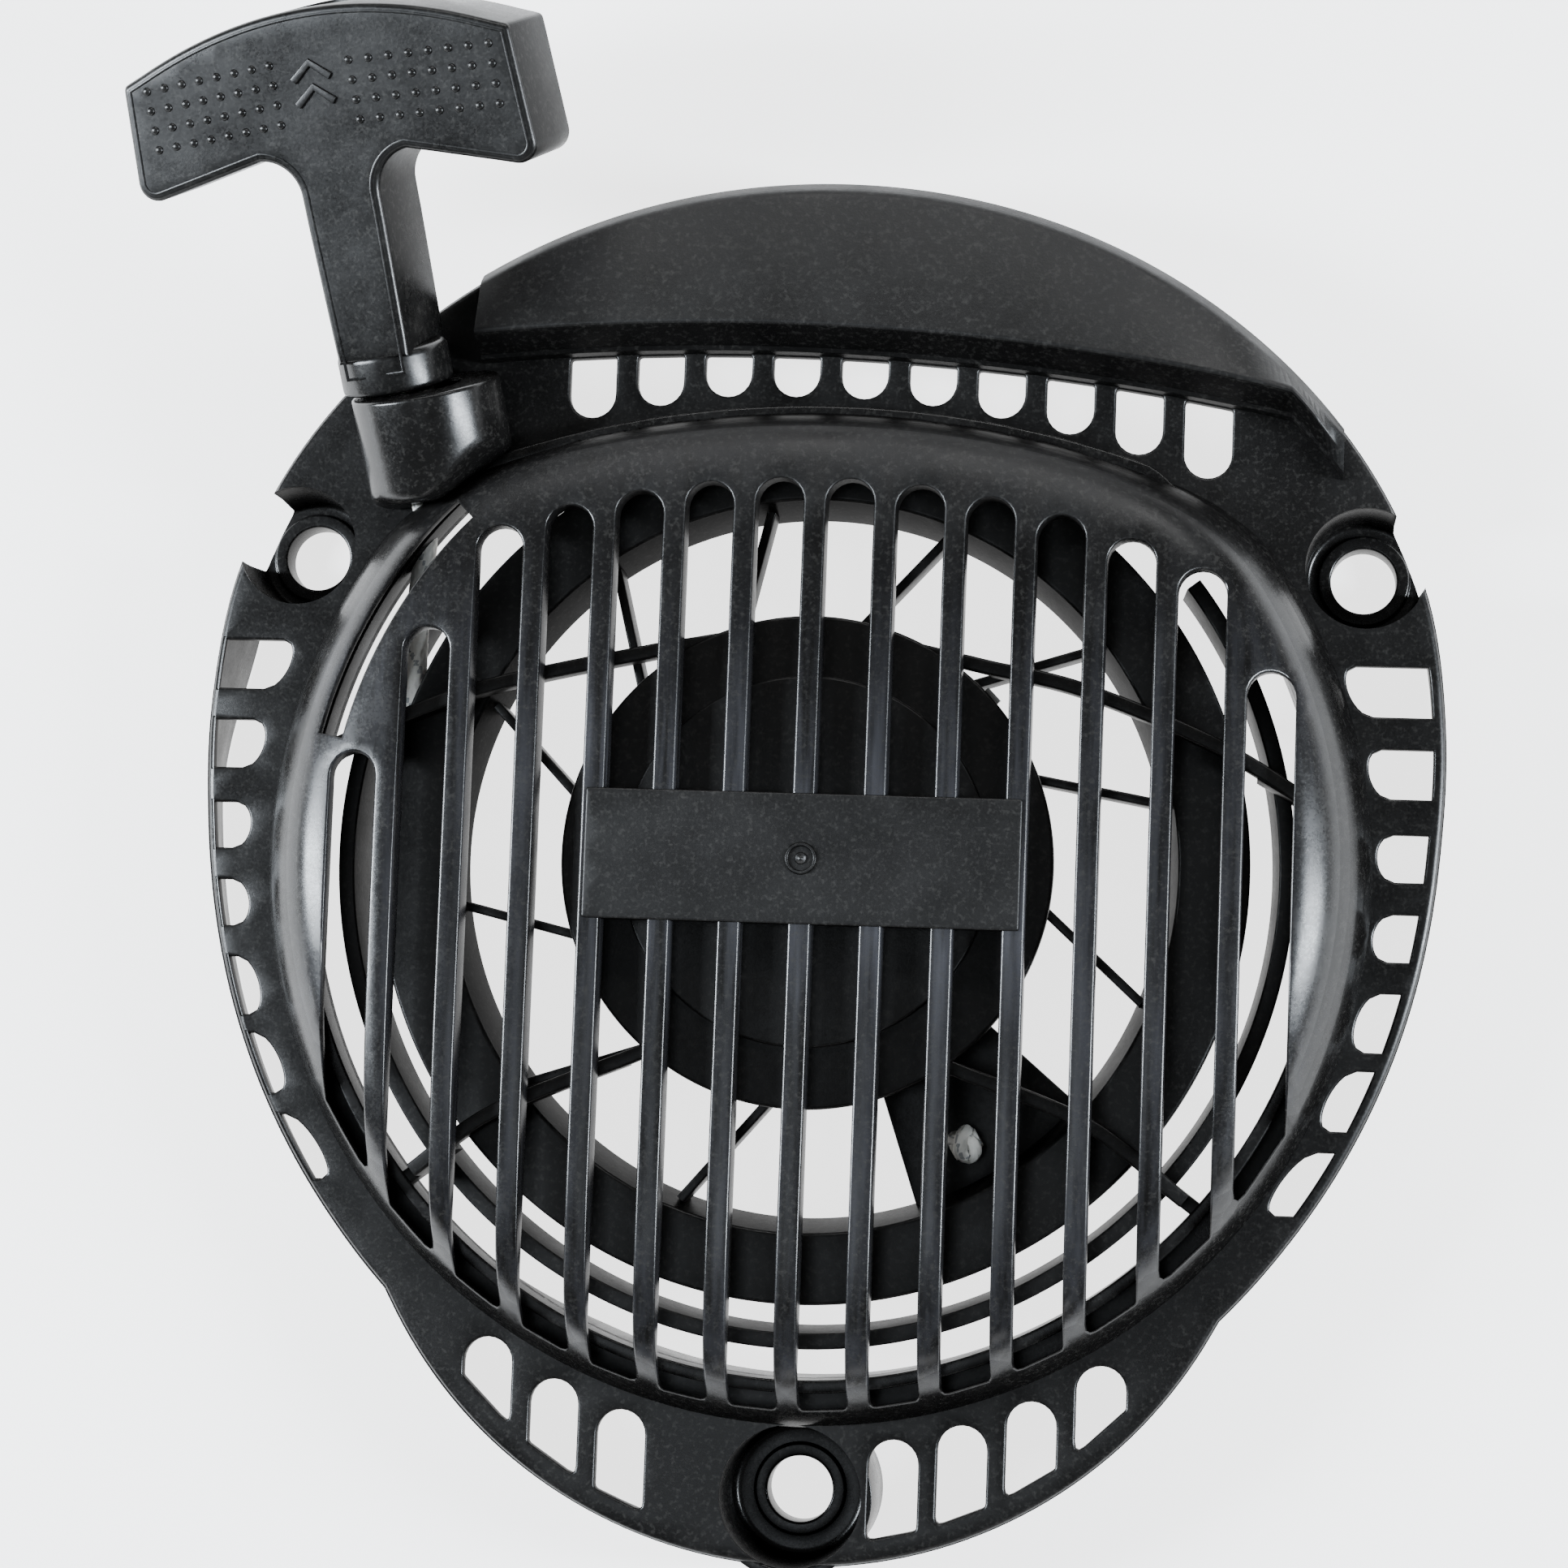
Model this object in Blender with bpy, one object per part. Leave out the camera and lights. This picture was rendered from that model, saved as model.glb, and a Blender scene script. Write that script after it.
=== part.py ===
"""Recoil (pull-rope) starter of a small vertical-shaft engine, as an assembly of separate parts.

Frame: metres. The origin is the centre of the label plate's outer face, on the crankshaft axis.
+Z points along the crankshaft, out of the grille and away from the engine. +Y points to the hood
side, where the pull handle is, and the engine side of the housing faces -Z.
"""
import math

import bmesh
import bpy
from mathutils import Vector

MM = 0.001
GAP = 0.3 * MM                       # clearance kept between neighbouring pieces
SAME_POINT = 0.001 * MM              # points nearer than this are merged

# ---- housing, seen along the crankshaft -------------------------------------------------------
MOUNT_Z = -44 * MM                   # mounting plane, the rear rim of the skirt
DECK_TOP = -20 * MM                  # flat flange around the dome
WALL = 2.4 * MM                      # general wall thickness
SKIRT_WALL = 2 * MM
SPLIT_Z = -24 * MM                   # the moulding's lower walls are solids of their own below here
UPPER_Z = SPLIT_Z + GAP / 2
LOWER_Z = SPLIT_Z - GAP / 2
OUTLINE_STEPS = 56
# side of the rim: angle above +X in degrees, radius; mirrored to the other side
RIM_SIDE = [(-90, 106.0), (-55, 106.0), (-35, 105.2), (-15, 106.2), (2, 108.7), (14, 112.5),
            (26, 117.0), (40, 119.8), (60, 121.0), (90, 121.0)]
LOBE_CENTRE_Y = -40 * MM             # round lobe at the bottom of the rim
LOBE_R = 81.5 * MM
DOME_R = 97.5 * MM                   # foot of the dome at the sides and the bottom
DOME_TOP_CENTRE_Y = -96.5 * MM       # the flatter arc at the top of the dome
DOME_TOP_R = 176.5 * MM
# dome section: inset from the foot at the top, inset at the sides, height
DOME_OUTSIDE = [(0, 0, -21.2), (0.8, 3, -12.5), (4, 8, -6), (9, 12, -3.2), (30, 30, -1)]
DOME_INSIDE = [(2.2, 2.4, -21.2), (3.0, 5.6, -13.7), (9, 12, -8.6), (30, 30, -7)]

# ---- grille ------------------------------------------------------------------------------------
PITCH = 12.15 * MM                   # bar to bar
SLOT_WIDTH = 8.3 * MM
SLOT_ARC_STEPS = 4
SLOT_COLUMNS = 7                     # on each side of the middle bar
SLOT_TOP_R = 162.5 * MM              # arc of the slots' top ends, about the dome's top centre
SLOT_BOTTOM_R = 94 * MM
SHORT_SLOT_TOPS = {-7: 16.4 * MM, -6: 38.6 * MM, 6: 34.4 * MM}   # beside the rope passage
ROPE_WINDOW = (83.5 * MM, 88 * MM, 136, 167)                     # radii and angles of the arc slot
LABEL_SIZE = (75 * MM, 22.4 * MM, 3.4 * MM)

# ---- flange slots ------------------------------------------------------------------------------
TOP_SLOTS = [(-3.5, 88.4, 78.8), (-2.5, 89.8, 81.2), (-1.5, 90.6, 83.0), (-0.5, 90.7, 83.2),
             (0.5, 90.8, 83.0), (1.5, 90.2, 82.0), (2.5, 89.2, 80.0), (3.5, 87.8, 77.4),
             (4.5, 86.0, 74.0), (5.5, 83.4, 70.0)]               # column, top and bottom in mm
SIDE_SLOT_Y = [33.2, 18.9, 4.3, -9.5, -24.2, -37.8, -52.3]       # mm
SIDE_SLOT_HEIGHT = [8.8, 8.6, 8.2, 8.2, 10.2, 10.4, 11.0]        # mm
SIDE_SLOT_MARGIN = (0.5 * MM, 2.4 * MM)                          # from the dome foot, from the rim
BOTTOM_SLOT_X = [-54.0, -42.0, -30.0, 17.8, 29.6, 41.4, 53.2]    # mm
BOTTOM_SLOT_WIDTH = 8.6 * MM

# ---- mounting bosses ---------------------------------------------------------------------------
BOLT_CIRCLE_R = 109.5 * MM
BOSS_ANGLES = (30, 150, 270)
BOSSES = {"bolt_boss_right": 30, "bolt_boss_left": 150, "bolt_boss_bottom": 270}
SKIRT_SPANS = {"housing_skirt_top": (30, 150), "housing_skirt_left": (150, 270),
               "housing_skirt_right": (270, 390)}
BOLT_HOLE_R = 5.8 * MM
BOSS_TOP = -38 * MM
WELL_R = {30: 10.6 * MM, 150: 10.6 * MM, 270: 12.4 * MM}
WELL_WALL = 1.8 * MM

# ---- hub, arms and shroud inside the housing ---------------------------------------------------
HUB_R = 42.7 * MM
HUB_TOP = -8 * MM
HUB_UNDER = -10.6 * MM
HUB_PAD_R = 32 * MM
HUB_PAD_TOP = -6.7 * MM
POST_R = 8.8 * MM
POST_END = -28 * MM
SHROUD_R = 89 * MM                   # inner face of the wall round the pulley
SHROUD_WALL = 2.2 * MM
SHROUD_TOP = -13.2 * MM
SHROUD_END = -34 * MM
HOOP_R = (81.2 * MM, 84 * MM)
HOOP_Z = (-27 * MM, -17 * MM)
HOOP_ANGLES = (-218, 38)
ARM_WIDTH = 2.5 * MM
# each arm: points from the hub outwards, in mm; the first stretch is a thin root over the pulley
ARMS = [[(-14, 38.6), (-28, 36), (-59, 28.5), (-84, 18)],
        [(14.3, 38), (31, 34.4), (47, 31), (70, 22), (87, 12)],
        [(-23, -31.8), (-30, -34.9), (-53, -45), (-74, -61)],
        [(20.4, -32.4), (28.8, -35.5), (50, -43.5), (75, -62)]]
ARM_Z = (-13 * MM, -8.4 * MM)
ARM_FOOT_R = 79.5 * MM
ARM_FOOT_Z = -19 * MM

# ---- hood --------------------------------------------------------------------------------------
RIDGE_X = -15 * MM                   # the ridge is an arc, highest here
RIDGE_Y = 94 * MM
RIDGE_R = 450 * MM
RIDGE_TOP = -8 * MM
RIDGE_RUN = 3.4 * MM                 # how far the ridge wall leans
HOOD_RIM_Z = -14 * MM
HOOD_ANGLES = (41, 121)
HOOD_STEPS = 12
HOOD_WALL = 3.1 * MM

# ---- pulley ------------------------------------------------------------------------------------
PULLEY_R = 76.2 * MM
GROOVE_R = 66 * MM
PULLEY_INNER_R = 61.3 * MM
PULLEY_Z = (-23.3 * MM, -13.8 * MM)
GROOVE_Z = (-21 * MM, -16 * MM)
CUP_R = (38.6 * MM, 41 * MM)
CUP_Z = (-24 * MM, -11.4 * MM)
CUP_FLOOR = -21.4 * MM
BORE_R = 9.1 * MM
SLEEVE_R = 12 * MM
SPOKE_ANGLES = [81.8, 51.6, 24.2, -7.9, -96.2, -127.5, -158.9, 167.9, 138.3, 111.3]
SPOKE_SWEEP = -13
SPOKE_WIDTH = 1.6 * MM
SPOKE_Z = (-21.5 * MM, -15 * MM)
WEB_ANGLES = (-71, -40)
WEB_Z = (-23.3 * MM, -21.3 * MM)
KNOT_ANGLE = -59
KNOT_R = 55.5 * MM
KNOT_SIZE = 3.6 * MM

# ---- recoil spring in its keeper -----------------------------------------------------------------
SPRING_TAB_ANGLE = 44
SPRING_TURNS = 5
SPRING_R = (13.2 * MM, 36.6 * MM)
SPRING_THICKNESS = 0.7 * MM
SPRING_Z = (-20.2 * MM, -13.8 * MM)

# ---- rope, handle ------------------------------------------------------------------------------
ROPE_R = 2.0 * MM
ROPE_Z = -18.5 * MM
ROPE_X = -71.9 * MM                  # the rope leaves the winding here, upwards
HANDLE_FOOT = Vector((-75.2, 81.8, -9.0)) * MM
AXIS_LEAN = 10.5                     # of the pull axis from +Y, towards -X, in degrees
AXIS_RISE = 19.5                     # of the pull axis above the flange plane, in degrees
HANDLE_TWIST = 12.5                  # of the T bar about the pull axis, in degrees
OUTLET_R = 13.2 * MM
OUTLET_SHIFT = 4.8 * MM              # outlet boss to pull axis
OUTLET_LENGTH = 24 * MM
ROPE_HOLE_R = 3.6 * MM
ROPE_HOLE_LENGTH = 34 * MM
EYELET_R = (3.0 * MM, 6.0 * MM)
EYELET_LENGTH = 8 * MM
COLLAR_R = 9.8 * MM
COLLAR_HEIGHT = 7.2 * MM
GRIP_HALF_WIDTH = 37 * MM
GRIP_HALF_DEPTH = 9.5 * MM
STEM_HALF_WIDTH = 6.6 * MM
GRIP_UNDER = 43 * MM                 # height of the bar's underside at the stem
GRIP_END_UNDER = 39 * MM
GRIP_END_TOP = 60 * MM
GRIP_TOP = 67.5 * MM
KNOT_SEAT = 51 * MM                  # floor of the knot's pocket in the handle
POCKET_R = 6.2 * MM

# ---- pawls and their retainer ------------------------------------------------------------------
PAWL_ANGLES = (20, 200)
PAWL_PIVOT_R = 22 * MM
PIVOT_PIN_R = 2.6 * MM
PAWL_Z = (-31.5 * MM, -26.3 * MM)
RETAINER_R = 27 * MM
RETAINER_Z = (-35.6 * MM, -33.4 * MM)
LUG_ANGLE = -48                      # of the retainer's drive lugs, from the pawls' pins
LUG_REACH = (14.2 * MM, 20.5 * MM)

STEEL = (0.55, 0.55, 0.56)
BLACK_PLASTIC = (0.022, 0.022, 0.024)


# ---- small geometry tools ----------------------------------------------------------------------
def clear_scene():
    for item in list(bpy.data.objects):
        bpy.data.objects.remove(item)


def material(name, colour, roughness, metallic=0.0):
    made = bpy.data.materials.new(name)
    made.use_nodes = True
    shader = made.node_tree.nodes["Principled BSDF"]
    shader.inputs["Base Color"].default_value = (*colour, 1.0)
    shader.inputs["Roughness"].default_value = roughness
    shader.inputs["Metallic"].default_value = metallic
    return made


def mesh_object(name, points, faces):
    """An object from points and faces, its faces turned outwards."""
    mesh = bpy.data.meshes.new(name)
    mesh.from_pydata([tuple(point) for point in points], [], faces)
    edit = bmesh.new()
    edit.from_mesh(mesh)
    bmesh.ops.recalc_face_normals(edit, faces=edit.faces)
    edit.to_mesh(mesh)
    edit.free()
    made = bpy.data.objects.new(name, mesh)
    bpy.context.scene.collection.objects.link(made)
    return made


def loft(name, loops, closed=False):
    """A solid through loops of equal length: capped at both ends, or closed into a ring."""
    count = len(loops[0])
    points = [point for loop in loops for point in loop]
    faces = []
    last = len(loops) if closed else len(loops) - 1
    for row in range(last):
        here, there = row * count, ((row + 1) % len(loops)) * count
        for step in range(count):
            after = (step + 1) % count
            faces.append((here + step, here + after, there + after, there + step))
    if not closed:
        faces.append(tuple(range(count)))
        faces.append(tuple((len(loops) - 1) * count + step for step in range(count)))
    return mesh_object(name, points, faces)


def prism(name, outline, low, high):
    """A flat outline raised between two heights."""
    return loft(name, [[(x, y, z) for x, y in outline] for z in (low, high)])


def polar(radius, degrees):
    angle = math.radians(degrees)
    return radius * math.cos(angle), radius * math.sin(angle)


def circle(radius, count, centre=(0, 0)):
    steps = [polar(radius, 360 * step / count) for step in range(count)]
    return [(centre[0] + x, centre[1] + y) for x, y in steps]


def disc(name, radius, low, high, count=32, centre=(0, 0)):
    return prism(name, circle(radius, count, centre), low, high)


def turned(name, section, count=32):
    """A ring turned about the Z axis from a closed (radius, height) section."""
    loops = []
    for step in range(count):
        angle = 360 * step / count
        loops.append([(*polar(radius, angle), height) for radius, height in section])
    return loft(name, loops, closed=True)


def tube(name, inner, outer, low, high, count=32):
    return turned(name, [(inner, low), (outer, low), (outer, high), (inner, high)], count)


def oriented(made, origin, across, along, normal):
    """Moves a piece modelled on the X, Y and Z axes onto three given directions."""
    for vertex in made.data.vertices:
        x, y, z = vertex.co
        vertex.co = origin + across * x + along * y + normal * z
    return made


def strip_box(name, start, end, width, low, high):
    """A straight bar of a rectangular section between two plan points."""
    run = Vector((end[0] - start[0], end[1] - start[1])).normalized()
    side = Vector((-run.y, run.x)) * width / 2
    corners = [(start[0] - side.x, start[1] - side.y), (end[0] - side.x, end[1] - side.y),
               (end[0] + side.x, end[1] + side.y), (start[0] + side.x, start[1] + side.y)]
    return prism(name, corners, low, high)


def is_closed(mesh):
    edit = bmesh.new()
    edit.from_mesh(mesh)
    closed = all(len(edge.link_faces) == 2 for edge in edit.edges)
    edit.free()
    return closed


def evaluated(target, tool, operation, solver):
    step = target.modifiers.new(operation.lower(), "BOOLEAN")
    step.operation = operation
    step.solver = solver
    step.object = tool
    bpy.context.view_layer.update()
    graph = bpy.context.evaluated_depsgraph_get()
    result = bpy.data.meshes.new_from_object(target.evaluated_get(graph))
    target.modifiers.remove(step)
    return result


def boolean(target, tools, operation):
    """Applies one Boolean for each tool in turn, and removes the tools.

    Where the exact solver leaves an edge open, the manifold solver makes the same cut or join.
    """
    for tool in tools:
        result = evaluated(target, tool, operation, "EXACT")
        if not is_closed(result):
            result = evaluated(target, tool, operation, "MANIFOLD")
        target.data = result
        bpy.data.objects.remove(tool)
    return target


def empty(name, place, parent=None):
    """A joint axis: its children turn or slide with it."""
    made = bpy.data.objects.new(name, None)
    made.location = place
    bpy.context.scene.collection.objects.link(made)
    if parent:
        attach(made, parent)
    return made


def attach(piece, parent):
    bpy.context.view_layer.update()
    piece.parent = parent
    piece.matrix_parent_inverse = parent.matrix_world.inverted()
    return piece


def merged(made):
    """Removes the points that the Booleans left on flat faces and straight edges."""
    edit = bmesh.new()
    edit.from_mesh(made.data)
    bmesh.ops.remove_doubles(edit, verts=edit.verts, dist=SAME_POINT)
    bmesh.ops.dissolve_degenerate(edit, edges=edit.edges, dist=SAME_POINT)
    bmesh.ops.dissolve_limit(edit, angle_limit=math.radians(0.5), verts=edit.verts,
                             edges=edit.edges)
    bmesh.ops.triangulate(edit, faces=edit.faces)
    if all(len(edge.link_faces) == 2 for edge in edit.edges):
        edit.to_mesh(made.data)
    edit.free()
    return made


def finish(made, name, surface, smooth_angle=35):
    made.name = name
    made.data.name = name
    made.data.materials.clear()
    made.data.materials.append(surface)
    made.data.shade_smooth()
    made.data.set_sharp_from_angle(angle=math.radians(smooth_angle))
    return made


def through(points, at):
    """A smooth curve through (place, value) points, read at one place."""
    index = 0
    while index < len(points) - 2 and at > points[index + 1][0]:
        index += 1
    (x0, y0), (x1, y1) = points[index], points[index + 1]
    before = points[max(index - 1, 0)]
    after = points[min(index + 2, len(points) - 1)]
    slope0 = (y1 - before[1]) / (x1 - before[0])
    slope1 = (after[1] - y0) / (after[0] - x0)
    t = (at - x0) / (x1 - x0)
    span = x1 - x0
    return ((2 * t ** 3 - 3 * t ** 2 + 1) * y0 + (t ** 3 - 2 * t ** 2 + t) * span * slope0
            + (3 * t ** 2 - 2 * t ** 3) * y1 + (t ** 3 - t ** 2) * span * slope1)


def offset_circle(centre_y, radius, degrees):
    """Distance from the crank axis to a circle centred on the Y axis, in one direction."""
    angle = math.radians(degrees)
    return centre_y * math.sin(angle) + math.sqrt(radius ** 2 - (centre_y * math.cos(angle)) ** 2)


def folded(degrees):
    """The same direction on the +X side, from -90 to 90 degrees."""
    return 90 - abs(90 - (degrees + 90) % 360 + 90)


# ---- outlines of the housing -------------------------------------------------------------------
def rim_radius(degrees):
    side = folded(degrees)
    radius = through(RIM_SIDE, side) * MM
    if side < -30:
        radius = max(radius, offset_circle(LOBE_CENTRE_Y, LOBE_R, side))
    return radius


def dome_radius(degrees):
    """The dome's foot: the side circle and the top arc, blended where they meet."""
    side = folded(degrees)
    if side < 0:
        return DOME_R
    arc = offset_circle(DOME_TOP_CENTRE_Y, DOME_TOP_R, side)
    blend = 6 * MM
    mix = max(blend - abs(arc - DOME_R), 0) / blend
    return min(arc, DOME_R) - mix * mix * blend / 4


def shroud_radius(degrees):
    return min(SHROUD_R, dome_radius(degrees) - 1.8 * MM)


def ridge_y(x):
    return RIDGE_Y - (x - RIDGE_X) ** 2 / (2 * RIDGE_R)


def deck_radius(degrees):
    """The rim, or the foot of the ridge where the hood stands."""
    radius = rim_radius(degrees) - 1 * MM
    if HOOD_ANGLES[0] < degrees < HOOD_ANGLES[1]:
        sine, cosine = math.sin(math.radians(degrees)), math.cos(math.radians(degrees))
        reach = radius
        for _ in range(8):
            reach = (ridge_y(reach * cosine) - RIDGE_RUN + 1 * MM) / sine
        radius = min(radius, reach)
    return radius


def outline(radius_of, change=0.0, steps=OUTLINE_STEPS):
    return [polar(radius_of(360 * step / steps) + change, 360 * step / steps)
            for step in range(steps)]


def outline_wall(name, outer, inner, low, high):
    """A wall between two outlines of the same number of points."""
    loops = []
    for (x0, y0), (x1, y1) in zip(outer, inner):
        loops.append([(x0, y0, low), (x0, y0, high), (x1, y1, high), (x1, y1, low)])
    return loft(name, loops, closed=True)


# ---- the pull axis and the handle's directions ---------------------------------------------------
def pull_frame():
    lean, rise, twist = (math.radians(value) for value in (AXIS_LEAN, AXIS_RISE, HANDLE_TWIST))
    along = Vector((-math.sin(lean) * math.cos(rise), math.cos(lean) * math.cos(rise),
                    math.sin(rise)))
    level = along.cross(Vector((0, 0, 1))).normalized()
    raised = level.cross(along).normalized()
    across = level * math.cos(twist) + raised * math.sin(twist)
    return across, along, across.cross(along)


# ---- housing -------------------------------------------------------------------------------------
def slot_prism(name, x, top, bottom, width, low, high, round_bottom=False, flat_top=False):
    """An upright slot of the given width with round or flat ends."""
    half = width / 2
    points = []
    arc = [180 - 180 * step / SLOT_ARC_STEPS for step in range(SLOT_ARC_STEPS + 1)]
    if flat_top:
        points += [(x - half, top), (x + half, top)]
    else:
        points += [(x + dx, top - half + dy) for dx, dy in (polar(half, a) for a in arc)]
    if round_bottom:
        points += [(x - dx, bottom + half - dy) for dx, dy in (polar(half, a) for a in arc)]
    else:
        points += [(x + half, bottom), (x - half, bottom)]
    return prism(name, points, low, high)


def grille_cutters():
    cutters = []
    for column in range(-SLOT_COLUMNS, SLOT_COLUMNS):
        x = (column + 0.5) * PITCH
        top = SHORT_SLOT_TOPS.get(
            column, DOME_TOP_CENTRE_Y + math.sqrt(SLOT_TOP_R ** 2 - x ** 2))
        reach = abs(x) + SLOT_WIDTH / 2
        bottom = -math.sqrt(SLOT_BOTTOM_R ** 2 - reach ** 2)
        cutters.append(slot_prism("grille_slot", x, top, bottom, SLOT_WIDTH, -17 * MM, 3 * MM))
    inner, outer, first, last = ROPE_WINDOW
    angles = [first + (last - first) * step / 8 for step in range(9)]
    band = [polar(outer, a) for a in angles] + [polar(inner, a) for a in reversed(angles)]
    cutters.append(prism("rope_window", band, -17 * MM, 3 * MM))
    return cutters


def flange_cutters():
    low, high = DECK_TOP - 5 * MM, DECK_TOP + 1.5 * MM
    cutters = []
    for column, top, bottom in TOP_SLOTS:
        cutters.append(slot_prism("top_slot", column * PITCH, top * MM, bottom * MM, SLOT_WIDTH,
                                  low, high, round_bottom=True, flat_top=True))
    for x in BOTTOM_SLOT_X:
        foot = -math.sqrt(DOME_R ** 2 - (x * MM) ** 2)
        end = LOBE_CENTRE_Y - math.sqrt((LOBE_R - 4.4 * MM) ** 2 - (x * MM) ** 2)
        cutters.append(slot_prism("bottom_slot", x * MM, foot - 3 * MM, end, BOTTOM_SLOT_WIDTH,
                                  low, high))
    for side in (-1, 1):
        for middle, height in zip(SIDE_SLOT_Y, SIDE_SLOT_HEIGHT):
            cutters.append(side_slot(side, middle * MM, height * MM, low, high))
    return cutters


def side_slot(side, middle, height, low, high):
    """A slot between the dome's foot and the rim, with its inner corners rounded."""
    inner, outer = [], []
    for step in range(SLOT_ARC_STEPS + 1):
        y = middle + height * (step / SLOT_ARC_STEPS - 0.5)
        angle = math.degrees(math.asin(max(-1, min(1, y / DOME_R))))
        foot = math.sqrt(dome_radius(angle) ** 2 - y * y) + SIDE_SLOT_MARGIN[0]
        edge = rim_radius(math.degrees(math.atan2(y, 105 * MM))) - SIDE_SLOT_MARGIN[1]
        corner = 1 - math.sqrt(max(0, 1 - (2 * step / SLOT_ARC_STEPS - 1) ** 2))
        inner.append((side * (foot + 3 * MM * corner), y))
        outer.append((side * math.sqrt(edge ** 2 - y * y), y))
    return prism("side_slot", inner + outer[::-1], low, high)


def dome():
    loops = []
    for profile in (DOME_INSIDE[::-1], DOME_OUTSIDE):
        for top_inset, side_inset, height in profile:
            loop = []
            for step in range(OUTLINE_STEPS):
                degrees = 360 * step / OUTLINE_STEPS
                share = min(1, max(0, (math.sin(math.radians(degrees)) - 0.5) / 0.4))
                inset = (side_inset + (top_inset - side_inset) * share) * MM
                loop.append((*polar(dome_radius(degrees) - inset, degrees), height * MM))
            loops.append(loop)
    return loft("dome", loops)


def hood():
    """A raised crescent between the ridge and the rim, open underneath."""
    loops = []
    first, last = HOOD_ANGLES
    for step in range(HOOD_STEPS + 1):
        degrees = first + (last - first) * step / HOOD_STEPS
        rim_x, rim_y = polar(rim_radius(degrees) - 0.5 * MM, degrees)
        top_y = ridge_y(rim_x)
        if rim_y - top_y < 5 * MM:
            top_y = rim_y - 5 * MM
        drop = [(top_y - RIDGE_RUN, DECK_TOP - 0.6 * MM), (top_y, RIDGE_TOP),
                (rim_y - 2.5 * MM, HOOD_RIM_Z + 1 * MM), (rim_y, HOOD_RIM_Z - 1.5 * MM),
                (rim_y, DECK_TOP - 3 * MM), (rim_y - HOOD_WALL, DECK_TOP - 3 * MM),
                (rim_y - HOOD_WALL, HOOD_RIM_Z - WALL), (top_y + WALL * 0.6, RIDGE_TOP - WALL),
                (top_y - RIDGE_RUN + WALL, DECK_TOP - 1.6 * MM)]
        loops.append([(rim_x, y, z) for y, z in drop])
    return loft("hood", loops)


def arms():
    pieces = []
    for route in ARMS:
        points = [(x * MM, y * MM) for x, y in route]
        pieces.append(strip_box("arm_root", points[0], points[1], ARM_WIDTH, HUB_UNDER, ARM_Z[1]))
        for start, end in zip(points[1:], points[2:]):
            pieces.append(strip_box("arm", start, end, ARM_WIDTH, *ARM_Z))
        before, end = Vector(points[-2]), Vector(points[-1])
        run = (end - before).normalized()
        foot = end
        while foot.length > ARM_FOOT_R:
            foot = foot - run * MM
        tip = end
        while tip.length < SHROUD_R + 1.5 * MM:
            tip = tip + run * MM
        pieces.append(strip_box("arm_foot", foot, tip, ARM_WIDTH, ARM_FOOT_Z, ARM_Z[1]))
    return pieces


def hoop():
    first, last = HOOP_ANGLES
    steps = 36
    loops = []
    for step in range(steps + 1):
        degrees = first + (last - first) * step / steps
        section = [(HOOP_R[0] - 1.2 * MM, HOOP_Z[0]), (HOOP_R[1] - 1.2 * MM, HOOP_Z[0]),
                   (HOOP_R[1], HOOP_Z[1]), (HOOP_R[0], HOOP_Z[1])]
        loops.append([(*polar(radius, degrees), height) for radius, height in section])
    return loft("hoop", loops)


def pull_axis_cylinder(name, radius, low, high, count=20, shift=0.0):
    """A cylinder along the pull axis, between two places on it."""
    across, along, normal = pull_frame()
    made = disc(name, radius, low, high, count)
    return oriented(made, HANDLE_FOOT + across * shift, across, -normal, along)


def skirt_wall(low, high):
    return outline_wall("skirt", outline(rim_radius), outline(rim_radius, -SKIRT_WALL), low, high)


def shroud_wall(low, high):
    return outline_wall("shroud", outline(shroud_radius, SHROUD_WALL), outline(shroud_radius),
                        low, high)


def well_wall(angle, low, high):
    """A bolt well as a solid round; the upper two end at the rim."""
    cup = disc("cup", WELL_R[angle] + WELL_WALL, low, high, 28, polar(BOLT_CIRCLE_R, angle))
    if angle == 270:
        return cup
    return boolean(cup, [prism("trim", outline(rim_radius, -0.2 * MM), -50 * MM, 0)], "INTERSECT")


def well_recess(angle):
    return disc("recess", WELL_R[angle], BOSS_TOP, 5 * MM, 28, polar(BOLT_CIRCLE_R, angle))


def skirt(name, surface):
    """One stretch of the outer wall below the flange, from bolt boss to bolt boss."""
    first, last = SKIRT_SPANS[name]
    rays = [polar(0.2, first + (last - first) * step / 4) for step in range(5)]
    wall = boolean(skirt_wall(MOUNT_Z, LOWER_Z), [prism("span", [(0, 0), *rays], -50 * MM, 0)],
                   "INTERSECT")
    notches = [disc("notch", WELL_R[angle] + WELL_WALL + GAP, -50 * MM, 0, 28,
                    polar(BOLT_CIRCLE_R, angle)) for angle in BOSS_ANGLES]
    return finish(boolean(wall, notches, "DIFFERENCE"), name, surface)


def bolt_boss(name, angle, surface):
    """A bolt well's wall and its pierced floor."""
    centre = polar(BOLT_CIRCLE_R, angle)
    body = well_wall(angle, MOUNT_Z, LOWER_Z)
    hole = disc("hole", BOLT_HOLE_R, -60 * MM, -30 * MM, 24, centre)
    return finish(boolean(body, [well_recess(angle), hole], "DIFFERENCE"), name, surface)


def shroud(surface):
    """The lower part of the wall round the pulley, notched around the rope outlet."""
    notch = pull_axis_cylinder("notch", OUTLET_R + GAP, -OUTLET_LENGTH - GAP, 5 * MM, 28,
                               OUTLET_SHIFT)
    path = pull_axis_cylinder("rope_hole", ROPE_HOLE_R, -ROPE_HOLE_LENGTH, 5 * MM)
    body = boolean(shroud_wall(SHROUD_END, LOWER_Z), [notch, path], "DIFFERENCE")
    return finish(merged(body), "pulley_shroud", surface)


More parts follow.
